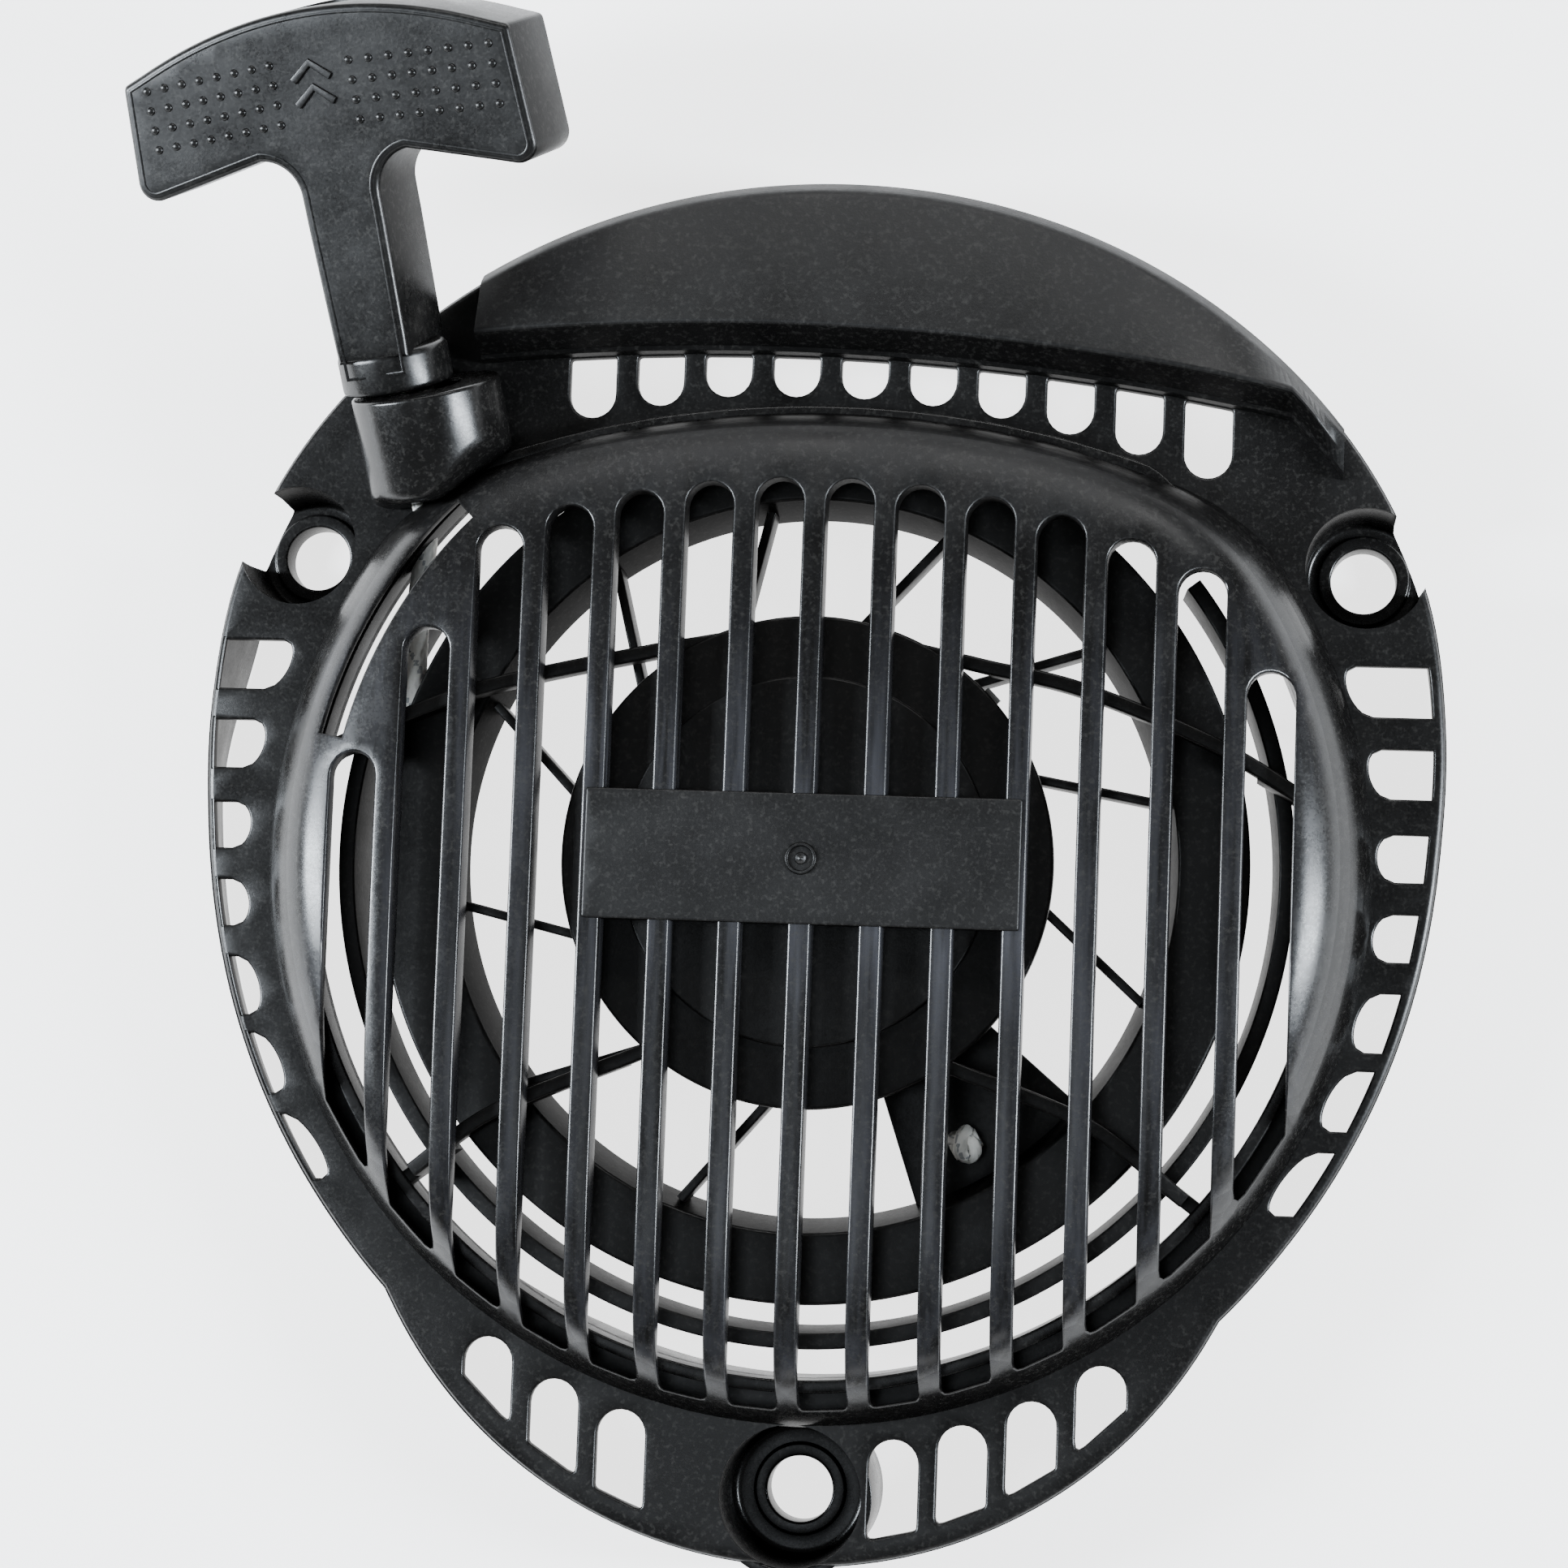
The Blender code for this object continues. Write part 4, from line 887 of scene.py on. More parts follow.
def plated_steel(name, colour, rough, stretch=(1.0, 1.0, 1.0)):
    """Bright steel with fine drawn lines and dull patches."""
    n = Nodes(name)
    line = n.noise(1500, 3, 0.6, stretch)
    cloud = n.noise(140, 4, 0.6)
    n.link(n.mix(n.ramp(cloud, 0.4, 0.75), colour, tuple(c * 0.62 for c in colour)),
           n.shader.inputs["Base Color"])
    n.shader.inputs["Metallic"].default_value = 1.0
    n.link(n.maths("ADD", n.ramp(cloud, 0.3, 0.7, rough - 0.05, rough + 0.12),
                   n.ramp(line, 0.3, 0.7, -0.05, 0.05)), n.shader.inputs["Roughness"])
    n.link(n.bump(line, 0.01 * MM, 0.6), n.shader.inputs["Normal"])
    return n.material


def braided_cord(name):
    """Pale braided polyester with grey tracer yarns and a little dirt."""
    n = Nodes(name)
    yarn = n.attribute("yarn")
    fibre = n.noise(2600, 3, 0.7)
    dirt = n.noise(180, 4, 0.6)
    base = n.mix(n.ramp(yarn, 0.45, 0.55), YARN, TRACER_YARN)
    base = n.mix(n.ramp(dirt, 0.5, 0.8, 0.0, 0.45), base, ROPE_DIRT)
    base = n.mix(n.ramp(fibre, 0.35, 0.7, 0.0, 0.35), base, ROPE_FLUFF)
    n.link(base, n.shader.inputs["Base Color"])
    n.link(n.ramp(fibre, 0.3, 0.7, 0.7, 0.95), n.shader.inputs["Roughness"])
    n.shader.inputs["Sheen Weight"].default_value = 0.3
    n.link(n.bump(fibre, 0.08 * MM, 0.7), n.shader.inputs["Normal"])
    return n.material


def paint(made, name, value_at):
    """A number at each point of a piece, which its material reads."""
    layer = made.data.attributes.new(name, "FLOAT", "POINT")
    layer.data.foreach_set("value", [value_at(vertex.co) for vertex in made.data.vertices])


def ease(value, low, high):
    share = min(1, max(0, (value - low) / (high - low)))
    return share * share * (3 - 2 * share)


def place(made, body, slot_name, *nodes):
    """Rides a piece on its body and hides the imported parts that it stands for; its finish's name
    is not used.
    """
    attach(made, body)
    if nodes:
        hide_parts(*nodes)


def moulding(name, shells, plastic, matte, *nodes, body="housing"):
    """A piece of black plastic: how matt it is, a number or a function, and what it stands for."""
    made = mesh_piece(name, shells, plastic)
    paint(made, "matte", matte if callable(matte) else lambda co: matte)
    place(made, body, "black_plastic", *nodes)
    return made


# ---- the housing's pieces ----
def painted_sheen_on_bars(co):
    """How much painted sheen the bars get: most over the hub, less elsewhere below y 25 mm, fading
    to faint by y 55 mm.
    """
    if abs(co.x) > 88 * MM or co.z < -9 * MM:
        return 0.0
    near = 1 - ease(abs(co.y), 12 * MM, 46 * MM) if abs(co.x) < 42 * MM else 0.0
    return max(0.32 * (1 - ease(co.y, 25 * MM, 55 * MM)) + 0.04, 0.8 * near)


def housing_dome(plastic):
    holes = grille_slots() + [rope_window()]
    shell = plate(outline(dome_radius, 0, 240), holes, dome_top, dome_under, dome_spots(),
                  outer_edge=0.05 * MM)
    made = moulding("housing_grille", [shell], plastic,
                    lambda co: 0.08 + 0.9 * ease(co.y, 50 * MM, 70 * MM), "starter_housing")
    # the bars' painted sheen
    paint(made, "painted_sheen", painted_sheen_on_bars)


def leaned(point):
    """A point of the skirt, its left wall leaning outwards towards the mounting plane."""
    x, y, z = point
    degrees = math.degrees(math.atan2(y, x)) % 360
    rise, full, fade, end = SKIRT_LEAN_SPAN
    share = ease(degrees, rise, full) * (1 - ease(degrees, fade, end))
    lean = SKIRT_LEAN * share * (DECK_TOP - z) / (DECK_TOP - MOUNT_Z)
    scale = 1 + lean / math.hypot(x, y)
    return x * scale, y * scale, z


def housing_flange(plastic):
    wells = [cylinder(WELL_R[angle], BELOW, ABOVE, polar(BOLT_CIRCLE_R, angle))
             for angle in BOSS_ANGLES]
    deck = plate(outline(deck_radius, 0.9 * MM), flange_slots(), lambda x, y: DECK_TOP,
                 lambda x, y: DECK_TOP - WALL, spots_over(124 * MM, 4 * MM), EDGE, DECK_EDGE)
    opening = loft([[(x, y, z) for x, y in outline(shroud_radius)] for z in (BELOW, ABOVE)])
    deck = carve(deck, wells + [opening])
    section = rounded([(0, DECK_TOP - DECK_EDGE), (0, MOUNT_Z), (SKIRT_WALL, MOUNT_Z),
                       (SKIRT_WALL, DECK_TOP - DECK_EDGE)], [0, 0.4 * MM, 0.4 * MM, 0])
    skirt = carve(changed(ring_wall(section, rim_radius), leaned), wells)
    moulding("housing_flange", [deck, skirt], plastic, 0.45, "housing_skirt_top",
             "housing_skirt_left", "housing_skirt_right")


def hood_loop(degrees):
    """The hood's wall in one upright plane along Y."""
    rim_x, rim_y = polar(rim_radius(degrees) - 0.3 * MM, degrees)
    top_y = min(ridge_y(rim_x), rim_y - 5 * MM)
    shelf = top_y - RIDGE_RUN
    peak = HOOD_RIM_Z + (RIDGE_TOP - HOOD_RIM_Z) * ease(degrees, HOOD_ANGLES[0], HOOD_TAPER)
    path = [(shelf, DECK_TOP - 0.6 * MM), (shelf, -16.4 * MM), (shelf + 0.7 * MM, -15.6 * MM),
            (top_y, peak), (rim_y - 2.0 * MM, HOOD_RIM_Z + 1.3 * MM),
            (rim_y, HOOD_RIM_Z - 2 * MM), (rim_y, DECK_TOP - 3 * MM),
            (rim_y - HOOD_WALL, DECK_TOP - 3 * MM), (rim_y - HOOD_WALL, HOOD_RIM_Z - WALL),
            (top_y + WALL * 0.6, peak - WALL), (shelf + WALL, DECK_TOP - 1.6 * MM)]
    radii = [0, 0.5 * MM, 0.4 * MM, 0.9 * MM, 3 * MM, 3 * MM, 0, 0, 0, 0, 0]
    return [(rim_x, y, z) for y, z in rounded(path, radii)]


def housing_hood(plastic):
    loops = [hood_loop(degrees) for degrees in spread(*HOOD_ANGLES, 120)]
    moulding("housing_hood", [loft(loops)], plastic, 1.0)


def bolt_wells(plastic):
    for side, angle in (("right", 30), ("left", 150), ("bottom", 270)):
        centre = polar(BOLT_CIRCLE_R, angle)
        inner, outer = WELL_R[angle], WELL_R[angle] + WELL_WALL
        section = rounded(
            [(BOLT_HOLE_R, MOUNT_Z), (outer, MOUNT_Z), (outer, DECK_TOP - 0.6 * MM),
             (inner, DECK_TOP - 0.6 * MM), (inner - 0.5 * MM, BOSS_TOP), (BOSS_R, BOSS_TOP),
             (BOSS_R - 0.3 * MM, BOSS_TOP + BOSS_LIP), (BOLT_HOLE_R, BOSS_TOP + BOSS_LIP)],
            [0.3 * MM, 0.3 * MM, 0.2 * MM, 0.6 * MM, 1.6 * MM, 0.2 * MM, 0.3 * MM, 0.5 * MM])
        shell = shifted(turned(section, 96), centre)
        if side != "bottom":
            beyond = ring_wall([(0.2 * MM, BELOW), (0.2 * MM, ABOVE), (-30 * MM, ABOVE),
                                (-30 * MM, BELOW)], rim_radius, 144)
            shell = carve(shell, [beyond])
        moulding("bolt_well_" + side, [shell], plastic, 0.1, "bolt_boss_" + side)


def shortened(point):
    """A point of the wall round the pulley, which is lower beside the rope's passage."""
    x, y, z = point
    degrees = math.degrees(math.atan2(y, x)) % 360
    rise, full, fade, end = SHROUD_LOW_SPAN
    share = ease(degrees, rise, full) * (1 - ease(degrees, fade, end))
    return x, y, max(z, SHROUD_END + (SHROUD_LOW_END - SHROUD_END) * share)


def inner_frame(plastic):
    """The hub disc, post, arms, hoop and the wall round the pulley."""
    hub = turned(rounded([(2.7 * MM, POST_END), (POST_R, POST_END), (POST_R, HUB_UNDER),
                          (HUB_R, HUB_UNDER), (HUB_R, HUB_TOP), (HUB_PAD_R, HUB_TOP),
                          (HUB_PAD_R, HUB_PAD_TOP), (2.7 * MM, HUB_PAD_TOP)],
                         [0.2 * MM, 0.5 * MM, 0.8 * MM, 0.4 * MM, 0.6 * MM, 0.2 * MM, 0.4 * MM,
                          0.2 * MM]), 160)
    shells = [hub]
    for route in ARMS:
        points = [(x * MM, y * MM) for x, y in route]
        shells.append(bar([points[0], points[1]], ARM_WIDTH, HUB_UNDER, ARM_Z[1]))
        before, end = Vector(points[-2]), Vector(points[-1])
        along = (end - before).normalized()
        foot, shoulder = end, end
        while foot.length > ARM_FOOT_R:
            foot = foot - along * MM
        tip = foot
        while tip.length < SHROUD_R + 1.2 * MM:          # just into the wall round the pulley
            tip = tip + along * 0.5 * MM
        while shoulder.length > SHROUD_R - 2 * MM:
            shoulder = shoulder - along * 0.5 * MM
        shells.append(bar(smooth_route(points[1:-1] + [tuple(shoulder)]), ARM_WIDTH, *ARM_Z))
        for far, high in ((shoulder, ARM_Z[1] - 0.1 * MM), (tip, SHROUD_TOP - 0.4 * MM)):
            shells.append(bar([tuple(foot), tuple(far)], ARM_WIDTH, ARM_FOOT_Z, high))
    section = rounded([(HOOP_R[0] - 1.2 * MM, HOOP_Z[0]), (HOOP_R[1] - 1.2 * MM, HOOP_Z[0]),
                       (HOOP_R[1], HOOP_Z[1]), (HOOP_R[0], HOOP_Z[1])], 0.4 * MM, 3)
    shells.append(loft([[(*polar(radius, degrees), height) for radius, height in section]
                        for degrees in spread(*HOOP_ANGLES, 180)]))
    moulding("housing_inner_frame", shells, plastic, 0.75)
    section = rounded([(-SHROUD_WALL, SHROUD_END), (-SHROUD_WALL, SHROUD_TOP), (0, SHROUD_TOP),
                       (0, SHROUD_END)], 0.4 * MM, 3)
    wall = changed(ring_wall(section, shroud_radius), shortened)
    moulding("pulley_shroud_wall", [wall], plastic, 0.2, "pulley_shroud")


def label_plate(plastic):
    width, height, depth = LABEL_SIZE
    corners = [(-width / 2, -height / 2), (width / 2, -height / 2), (width / 2, height / 2),
               (-width / 2, height / 2)]
    slab = plate(closed_path(rounded(corners, 0.5 * MM, 3), 4 * MM), [], lambda x, y: 0.0,
                 lambda x, y: -depth, spots_over(40 * MM, 4 * MM), EDGE, 0.35 * MM)
    gate = turned(rounded([(2.0 * MM, -0.2 * MM), (2.9 * MM, -0.2 * MM), (2.6 * MM, 0.5 * MM),
                           (2.2 * MM, 0.5 * MM)], 0.15 * MM, 3), 64)
    nub = turned([(0.05 * MM, -0.2 * MM), (1.2 * MM, -0.2 * MM), (0.9 * MM, 0.3 * MM),
                  (0.5 * MM, 0.12 * MM), (0.05 * MM, 0.34 * MM)], 32)
    moulding("label_plate", [slab, gate, nub], plastic, 0.9)


# ---- the pull axis ----
def pull_frame():
    lean, rise, twist = (math.radians(value) for value in (AXIS_LEAN, AXIS_RISE, HANDLE_TWIST))
    along = Vector((-math.sin(lean) * math.cos(rise), math.cos(lean) * math.cos(rise),
                    math.sin(rise)))
    level = along.cross(Vector((0, 0, 1))).normalized()
    raised = level.cross(along).normalized()
    across = level * math.cos(twist) + raised * math.sin(twist)
    return across, along, across.cross(along)


ACROSS, ALONG, NORMAL = pull_frame()


def on_axis(shell, shift=0.0):
    """A shell turned about Z, laid on the pull axis with its foot at the handle's foot."""
    return moved(shell, HANDLE_FOOT + ACROSS * shift, ACROSS, -NORMAL, ALONG)


def slanted(point):
    """A point of the outlet boss, its lower end cut at a slant."""
    x, y, z = point
    rise = ease(-y, -OUTLET_R, OUTLET_R) * OUTLET_SLANT + ease(x, 0, OUTLET_R) * OUTLET_SIDE_SLANT
    return x, y, z + rise * (z < -OUTLET_LENGTH / 2)


def rope_outlet(plastic, zinc):
    section = rounded([(3.6 * MM, -OUTLET_LENGTH), (OUTLET_R, -OUTLET_LENGTH),
                       (OUTLET_R, -0.6 * MM), (6.3 * MM, -0.6 * MM), (6.3 * MM, -8.3 * MM),
                       (3.6 * MM, -8.3 * MM)],
                      [0.3 * MM, 2.6 * MM, 0.7 * MM, 0.4 * MM, 0.1 * MM, 0.3 * MM], 5)
    boss = on_axis(changed(turned(section, 120), slanted), OUTLET_SHIFT)
    moulding("rope_outlet_boss", [boss], plastic, 0.0)
    ring = turned(rounded([(3.0 * MM, -8 * MM), (6.0 * MM, -8 * MM), (6.0 * MM, -0.7 * MM),
                           (3.0 * MM, -0.7 * MM)], [1.2 * MM, 0.3 * MM, 0.8 * MM, 1.6 * MM]), 64)
    made = mesh_piece("rope_eyelet_bush", [on_axis(ring)], zinc)
    place(made, "housing", "zinc_steel", "rope_eyelet")


def rope_route():
    """From the winding straight up, in one bend onto the pull axis and on into the handle."""
    points = [Vector((ROPE_X, y * MM, ROPE_Z)) for y in range(-4, 44)]
    start = Vector((ROPE_X, 44 * MM, ROPE_Z))
    end = HANDLE_FOOT - ALONG * 22 * MM
    reach = (end - start).length * 0.45
    for step in range(16):
        t = step / 16
        a, b, c, d = start, start + Vector((0, reach, 0)), end - ALONG * reach, end
        points.append(a * (1 - t) ** 3 + b * 3 * t * (1 - t) ** 2 + c * 3 * t * t * (1 - t)
                      + d * t ** 3)
    points += [HANDLE_FOOT + ALONG * reach * MM for reach in range(-22, 51)]
    return points


def braid(angle, length):
    """Bulge of the braid at a place on the rope, and which of its two yarns is on top."""
    turn = 2 * math.pi * length / BRAID_PITCH
    one = math.cos(BRAID_STRANDS * (angle + turn / 2))
    two = math.cos(BRAID_STRANDS * (angle - turn / 2))
    weave = math.sin(BRAID_STRANDS * angle * 0.5) * math.cos(BRAID_STRANDS * turn * 0.25)
    high = max(one + 0.4 * weave, two - 0.4 * weave)
    strand = math.floor((angle + turn / 2) / (2 * math.pi / BRAID_STRANDS) + 0.5) % BRAID_STRANDS
    return high, 1.0 if strand in (0, 4) and one >= two else 0.0


def braided(route, radius, spacing):
    """A braided rope along a route: its shell and the yarn number of each point."""
    loops, yarns, dense = [], [], []
    gone = 0.0
    side = None
    for start, end in zip(route, route[1:]):
        count = max(1, round((end - start).length / spacing))
        dense += [start.lerp(end, step / count) for step in range(count)]
    dense.append(route[-1])
    for index, point in enumerate(dense):
        ahead, behind = dense[min(index + 1, len(dense) - 1)], dense[max(index - 1, 0)]
        along = (ahead - behind).normalized()
        side = side if side else along.orthogonal()
        side = (side - along * side.dot(along)).normalized()
        other = along.cross(side)
        gone += (point - behind).length if index else 0
        loop = []
        for step in range(ROPE_SIDES):
            angle = 2 * math.pi * step / ROPE_SIDES
            high, yarn = braid(angle, gone)
            r = radius * (0.95 + 0.045 * high)
            loop.append(point + side * (math.cos(angle) * r) + other * (math.sin(angle) * r))
            yarns.append(yarn)
        loops.append(loop)
    return loft(loops), yarns


def rope_piece(name, route, cord, radius=ROPE_R, spacing=0.3 * MM):
    shell, yarns = braided(route, radius, spacing)
    made = mesh_piece(name, [shell], cord, 60, 0.0005 * MM)
    layer = made.data.attributes.new("yarn", "FLOAT", "POINT")
    layer.data.foreach_set("value", (yarns + [0.0] * len(made.data.vertices))
                           [:len(made.data.vertices)])
    return made


def ropes(cord):
    route = rope_route()
    # its points up to the handle's foot: 48 straight ones, 16 in the bend and 22 on the pull axis
    made = rope_piece("rope_outside_pulley", route[:48 + 16 + 22], cord)
    place(made, "housing", "rope", "rope_run")
    inner = rope_piece("rope_to_handle", [HANDLE_FOOT + ALONG * reach * MM
                                          for reach in (-7.6, -4, 0, 12, 24, 36, 50)], cord)
    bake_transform(inner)
    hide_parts("handle_rope")
    outermost = -ROPE_X - ROPE_R - 0.3 * MM
    radius = ROPE_R * 0.98
    lap = [Vector((*polar(outermost - radius, 360 * step / 240), ROPE_Z)) for step in range(241)]
    made = rope_piece("rope_on_pulley", lap, cord, radius, spacing=0.45 * MM)
    place(made, "pulley", "rope", "rope_winding")


def knot(name, centre, across, along, normal, cord, body, node):
    """A tight overhand knot: a short braided trefoil round the rope's end."""
    route = []
    for step in range(97):
        t = 2 * math.pi * step / 96
        ring = 1.75 + 0.45 * math.cos(3 * t)
        route.append(centre + across * (ring * math.cos(2 * t) * MM)
                     + normal * (ring * math.sin(2 * t) * MM)
                     + along * (1.25 * math.sin(3 * t) * MM))
    core = rope_piece(name, route, cord, 1.28 * MM, spacing=0.4 * MM)
    place(core, body, "rope", node)
    ends = [centre - along * 2.6 * MM, centre, centre + along * 2.7 * MM]
    tail = rope_piece(name + "_tail", ends, cord, 1.7 * MM)
    place(tail, body, "rope")


def knots(cord):
    knot("handle_rope_knot", HANDLE_FOOT + ALONG * (KNOT_SEAT + 3.2 * MM), ACROSS, ALONG, NORMAL,
         cord, "handle", "handle_knot")
    centre = Vector((*polar(KNOT_R, KNOT_ANGLE), WEB_Z[1] + 3.9 * MM))
    radial = Vector((*polar(1, KNOT_ANGLE), 0))
    knot("pulley_knot", centre, radial, Vector((-radial.y, radial.x, 0)), Vector((0, 0, 1)),
         cord, "pulley", "pulley_rope_knot")


# ---- the handle ----
def grip_half(under, end_under):
    """One side of the T shape: across, along the pull axis, from the collar to the bar's crown."""
    half = [(STEM_HALF_WIDTH, COLLAR_HEIGHT - 1 * MM)]
    half += run((STEM_HALF_WIDTH + 0.1 * MM, 9 * MM), (STEM_HALF_WIDTH + 0.6 * MM, under - 10 * MM),
                2 * MM)
    centre = (STEM_HALF_WIDTH + 0.6 * MM + GRIP_FILLET, under - GRIP_FILLET)
    for step in range(15):
        dx, dy = polar(GRIP_FILLET, 180 - 6 * step)
        half.append((centre[0] + dx, centre[1] + dy))
    low = (GRIP_HALF_WIDTH - GRIP_CORNER, end_under + GRIP_CORNER)
    dx, dy = polar(GRIP_CORNER, -100)
    foot = (low[0] + dx, low[1] + dy)
    half += run(half.pop(), foot, 2 * MM)
    for step in range(13):
        dx, dy = polar(GRIP_CORNER, -100 + step * 100 / 12)
        half.append((low[0] + dx, low[1] + dy))
    tip = (GRIP_HALF_WIDTH - 3 * MM, GRIP_END_TOP)
    shoulder = rounded([half[-1], (GRIP_HALF_WIDTH - 1.0 * MM, GRIP_END_TOP - 0.6 * MM), tip],
                       2.2 * MM, 5, closed=False)[1:-1]
    half += run(half.pop(), shoulder[0], 2 * MM) + shoulder
    sag = GRIP_TOP - GRIP_END_TOP
    for step in range(1, 17):
        share = 1 - step / 17
        half.append((share * tip[0], GRIP_TOP - sag * share ** 2))
    return half


def grip_outline():
    """The T shape in its own plane; its right end reaches lower than its left."""
    left = grip_half(GRIP_UNDER, GRIP_END_UNDER)
    right = grip_half(GRIP_UNDER - RIGHT_END_DROP[0], GRIP_END_UNDER - RIGHT_END_DROP[1])
    return right + [(0, GRIP_TOP)] + [(-x, y) for x, y in left[::-1]]


def grip_body():
    plan = grip_outline()
    depth = GRIP_HALF_DEPTH
    rings = []
    for side in (-1, 1):
        steps = range(6) if side > 0 else range(5, -1, -1)
        for step in steps:
            turn = math.pi / 2 * step / 5
            inset = GRIP_EDGE * (1 - math.cos(turn))
            height = side * (depth - GRIP_EDGE * (1 - math.sin(turn)))
            rings.append([(x, y, height) for x, y in offset(plan, -inset)])
    edge = offset(plan, -GRIP_EDGE)
    spots = np.array([(x, y + 40 * MM) for x, y in spots_over(42 * MM, 3 * MM)])
    faces = [filled(edge, [], lambda x, y, h=height: h, spots) for height in (-depth, depth)]
    return joined([loft(rings, caps=False), *faces])


def border_line(inset, width, tall):
    """A low rounded line along the grip's face."""
    plan = grip_outline()
    keep = [(x, y if y > COLLAR_HEIGHT else y - 4 * MM) for x, y in plan]
    loops = []
    base = GRIP_HALF_DEPTH
    for extra, height in ((0, -0.1 * MM), (0, tall * 0.6), (width * 0.25, tall),
                          (width * 0.75, tall), (width, tall * 0.6), (width, -0.1 * MM)):
        loops.append([(x, y, base + height) for x, y in offset(keep, -(inset + extra))])
    return loft(loops, caps=False)


def dome_dot(place_at, radius, tall, base):
    rings = []
    for share in (1.0, 0.97, 0.85, 0.6, 0.25, 0.02):
        height = tall * math.sqrt(max(0, 1 - share ** 2))
        rings.append([(*xy, base + height) for xy in circle(radius * share, 16, place_at)])
    rings.insert(0, [(*xy, base - 0.2 * MM) for xy in circle(radius, 16, place_at)])
    return loft(rings)


def handle_marks():
    """Grip dots at both ends of the bar and a plain double chevron between them."""
    shells = []
    base = GRIP_HALF_DEPTH
    for side, first, pitch, top in DOT_GRIDS:
        for column in range(8):
            for row in range(4):
                x = first + pitch * column
                y = top - 3.4 * row - 0.04 * abs(x) - (1.4 if side < 0 else 0.4)
                shells.append(dome_dot((x * MM, y * MM), DOT_R, MARK_TALL, base))
    for lift in CHEVRON_LIFTS:
        route = [(x * MM, (y + lift) * MM) for x, y in CHEVRON]
        shells.append(bar(route, 1.3 * MM, base - 0.2 * MM, base + MARK_TALL, 0.2 * MM))
    return shells


def laid(shell):
    """Turns a shell modelled about Z so that it lies along the grip."""
    return moved(shell, Vector((0, 0, 0)), Vector((1, 0, 0)), Vector((0, 0, -1)),
                 Vector((0, 1, 0)))


def handle(plastic, black):
    bore = laid(cylinder(ROPE_BORE_R, -1 * MM, KNOT_SEAT + 1 * MM, steps=48))
    pocket = laid(cylinder(POCKET_R, KNOT_SEAT, 90 * MM, steps=64))
    body = carve(grip_body(), [bore, pocket])
    collar = laid(turned(rounded([(ROPE_BORE_R, 0), (COLLAR_R, 0),
                                  (COLLAR_R, COLLAR_HEIGHT), (ROPE_BORE_R, COLLAR_HEIGHT)],
                                 [0.8 * MM, 0.9 * MM, 1.4 * MM, 0], 5), 120))
    shells = [body, collar, border_line(1.1 * MM, 0.5 * MM, 0.12 * MM)]
    shells += handle_marks()
    made = mesh_piece("pull_handle_grip", [moved(shell, HANDLE_FOOT, ACROSS, ALONG, NORMAL)
                                           for shell in shells], plastic, 32)
    paint(made, "matte", lambda co: 0.3 * ease((co - HANDLE_FOOT).dot(ALONG), 8 * MM, 30 * MM))
    place(made, "handle", "handle_plastic", "pull_handle")
    inner, outer = 0.3 * MM, POCKET_R - 0.3 * MM
    low, high = KNOT_SEAT + 6.6 * MM, GRIP_TOP - 1.2 * MM
    section = rounded([(inner, low), (outer, low), (outer, high), (inner, high)],
                      [0, 0.2 * MM, 0.6 * MM, 0])
    moulding("handle_end_plug", [on_axis(turned(section, 64))], black, 0.3, "handle_plug",
             body="handle")


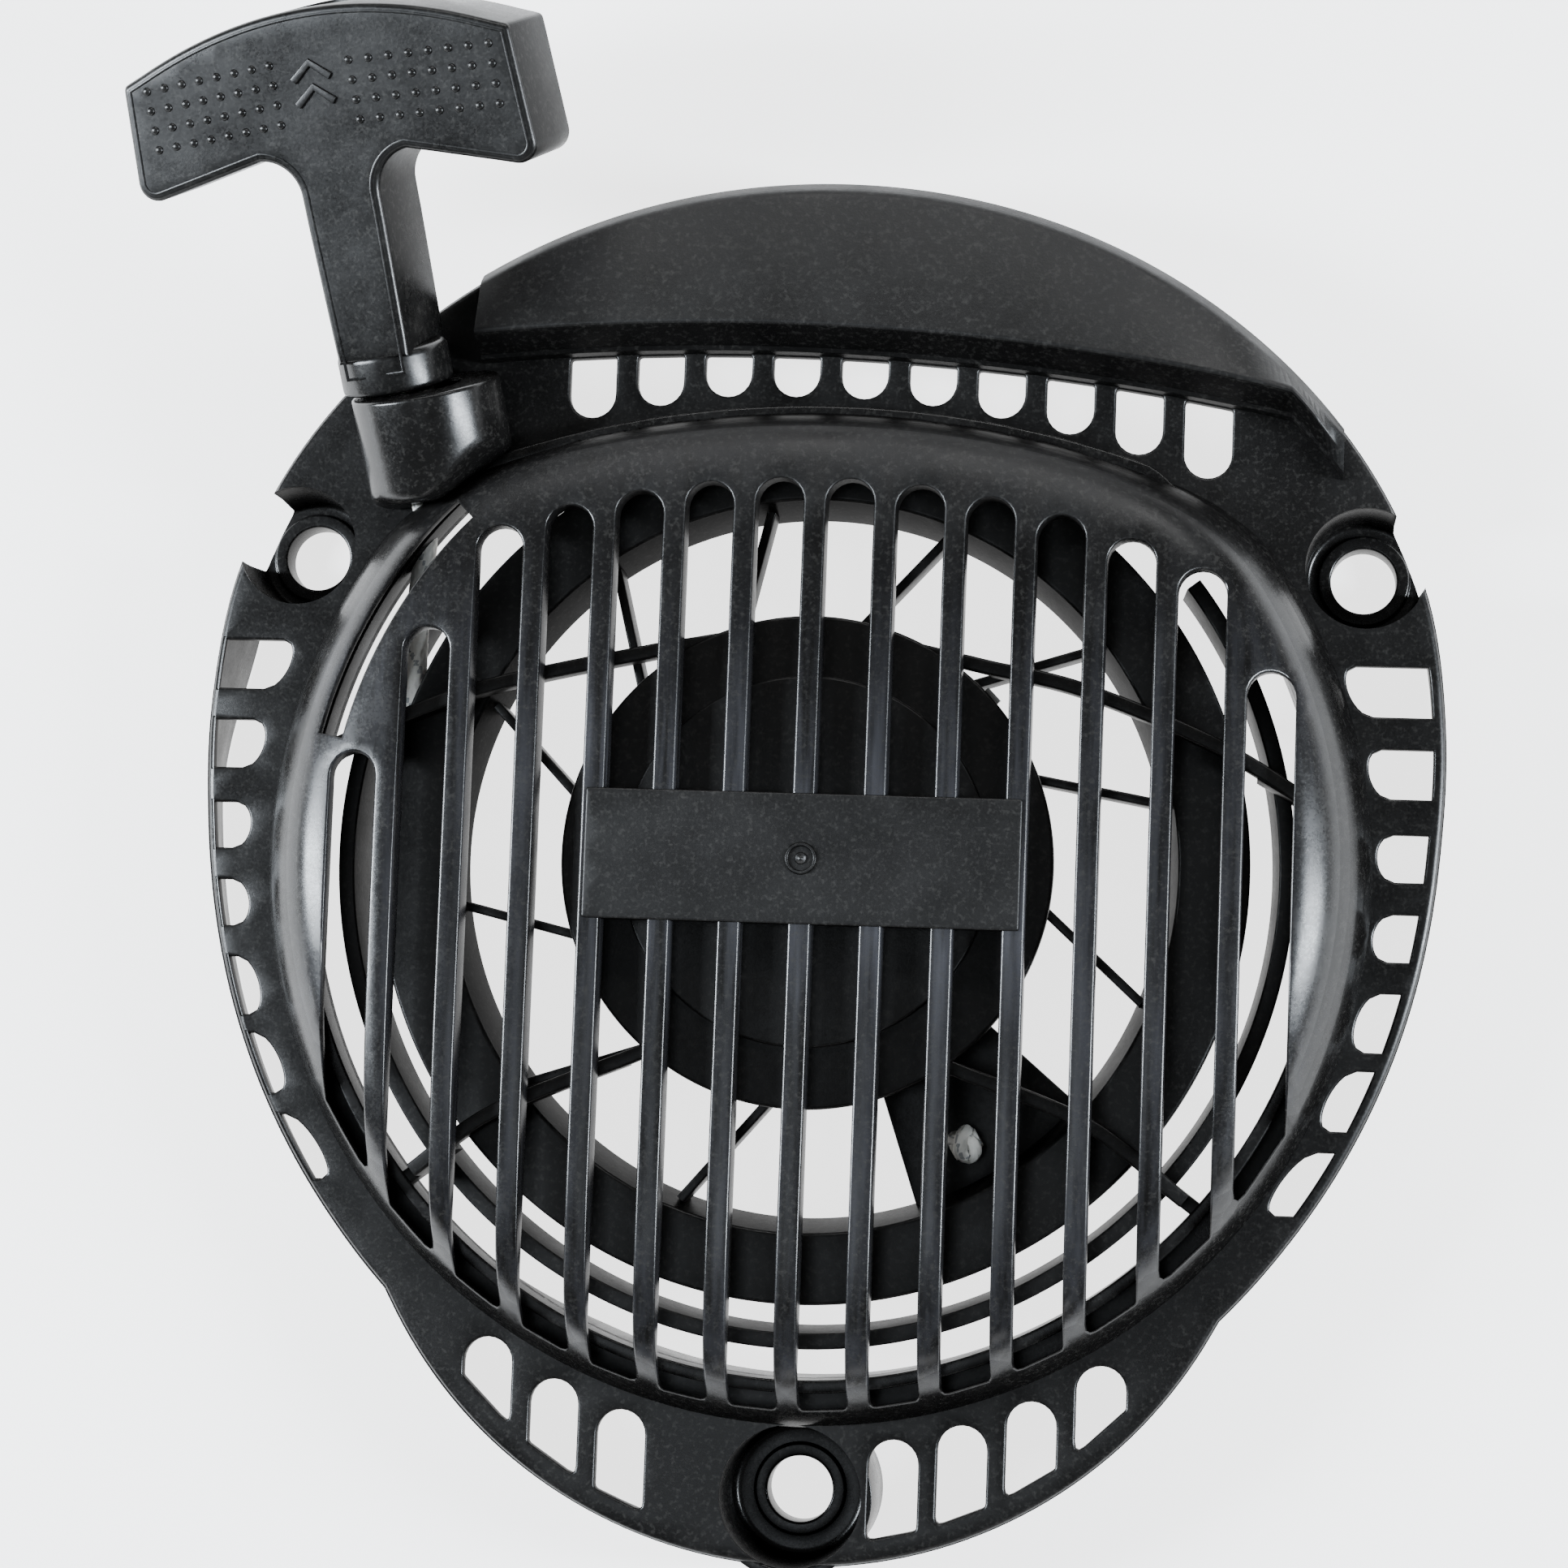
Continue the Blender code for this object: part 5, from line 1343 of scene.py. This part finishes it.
# ---- the pulley ----
def pulley(plastic):
    low, high = PULLEY_Z
    rim = turned(rounded([(PULLEY_INNER_R, low), (PULLEY_R, low), (PULLEY_R, GROOVE_Z[0]),
                          (GROOVE_R, GROOVE_Z[0]), (GROOVE_R, GROOVE_Z[1]),
                          (PULLEY_R, GROOVE_Z[1]), (PULLEY_R, high),
                          (PULLEY_INNER_R + 2.6 * MM, high)],
                         [0.4 * MM, 0.6 * MM, 0.6 * MM, 0.5 * MM, 0.5 * MM, 0.6 * MM, 0.6 * MM,
                          0.8 * MM]), 240)
    top = SLEEVE_R - 1 * MM
    cup = turned(rounded([(BORE_R, POST_END), (SLEEVE_R, POST_END), (SLEEVE_R, CUP_Z[0]),
                          (CUP_R[1], CUP_Z[0]), (CUP_R[1], CUP_Z[1]), (CUP_R[0], CUP_Z[1]),
                          (CUP_R[0], CUP_FLOOR), (top, CUP_FLOOR), (top, -13 * MM),
                          (BORE_R, -13 * MM)], 0.35 * MM, 3), 192)
    shells = [rim, cup]
    for angle in SPOKE_ANGLES:
        start = polar(CUP_R[1] - 1 * MM, angle)
        end = polar(PULLEY_INNER_R + 1 * MM, angle + SPOKE_SWEEP)
        shells.append(bar([start, end], SPOKE_WIDTH, *SPOKE_Z, edge=0.35 * MM))
    angles = spread(*WEB_ANGLES, 24)
    sector = [polar(PULLEY_INNER_R + 1 * MM, angle) for angle in angles]
    sector += [polar(CUP_R[1] - 1 * MM, angle) for angle in reversed(angles)]
    shells.append(plate(closed_path(sector, 3 * MM), [], lambda x, y: WEB_Z[1],
                        lambda x, y: WEB_Z[0], spots_over(66 * MM, 4 * MM), 0.3 * MM, 0.3 * MM))
    for angle in PAWL_ANGLES:
        pin = turned(rounded([(0.05 * MM, PIVOT_PIN_END), (PIVOT_PIN_R, PIVOT_PIN_END),
                              (PIVOT_PIN_R, CUP_Z[0] + 0.5 * MM), (0.05 * MM, CUP_Z[0] + 0.5 * MM)],
                             [0, 0.4 * MM, 0, 0]), 48)
        shells.append(shifted(pin, polar(PAWL_PIVOT_R, angle)))
    moulding("pulley_moulding", shells, plastic, 0.55, "rope_pulley", body="pulley")


def main():
    camera()
    studio()
    black = moulded_plastic("black_moulded_plastic", BLACK, 0.23, PLASTIC_GRAIN)
    grip = moulded_plastic("handle_moulded_plastic", HANDLE_BLACK, 0.25, PLASTIC_GRAIN)
    grey = moulded_plastic("grey_nylon", GREY_NYLON, 0.5, 0.02 * MM, 0.12)
    zinc = plated_steel("zinc_plated_steel", ZINC, 0.33)
    steel = plated_steel("spring_steel", SPRING_STEEL, 0.28, (0.15, 0.15, 3.0))
    cord = braided_cord("braided_rope")
    finishes = {"recoil_spring": steel, "brake_spring": steel, "pawl_spring_a": steel,
                "pawl_spring_b": steel, "pawl_retainer": grey}
    for name in ("spring_keeper", "thrust_washer", "centre_screw", "pawl_a", "pawl_b"):
        finishes[name] = zinc
    for name, surface in finishes.items():
        materials = bpy.data.objects[name].data.materials
        materials.clear()
        materials.append(surface)
    housing_dome(black)
    housing_flange(black)
    housing_hood(black)
    bolt_wells(black)
    inner_frame(black)
    label_plate(black)
    rope_outlet(black, zinc)
    pulley(black)
    ropes(cord)
    knots(cord)
    handle(grip, black)


main()
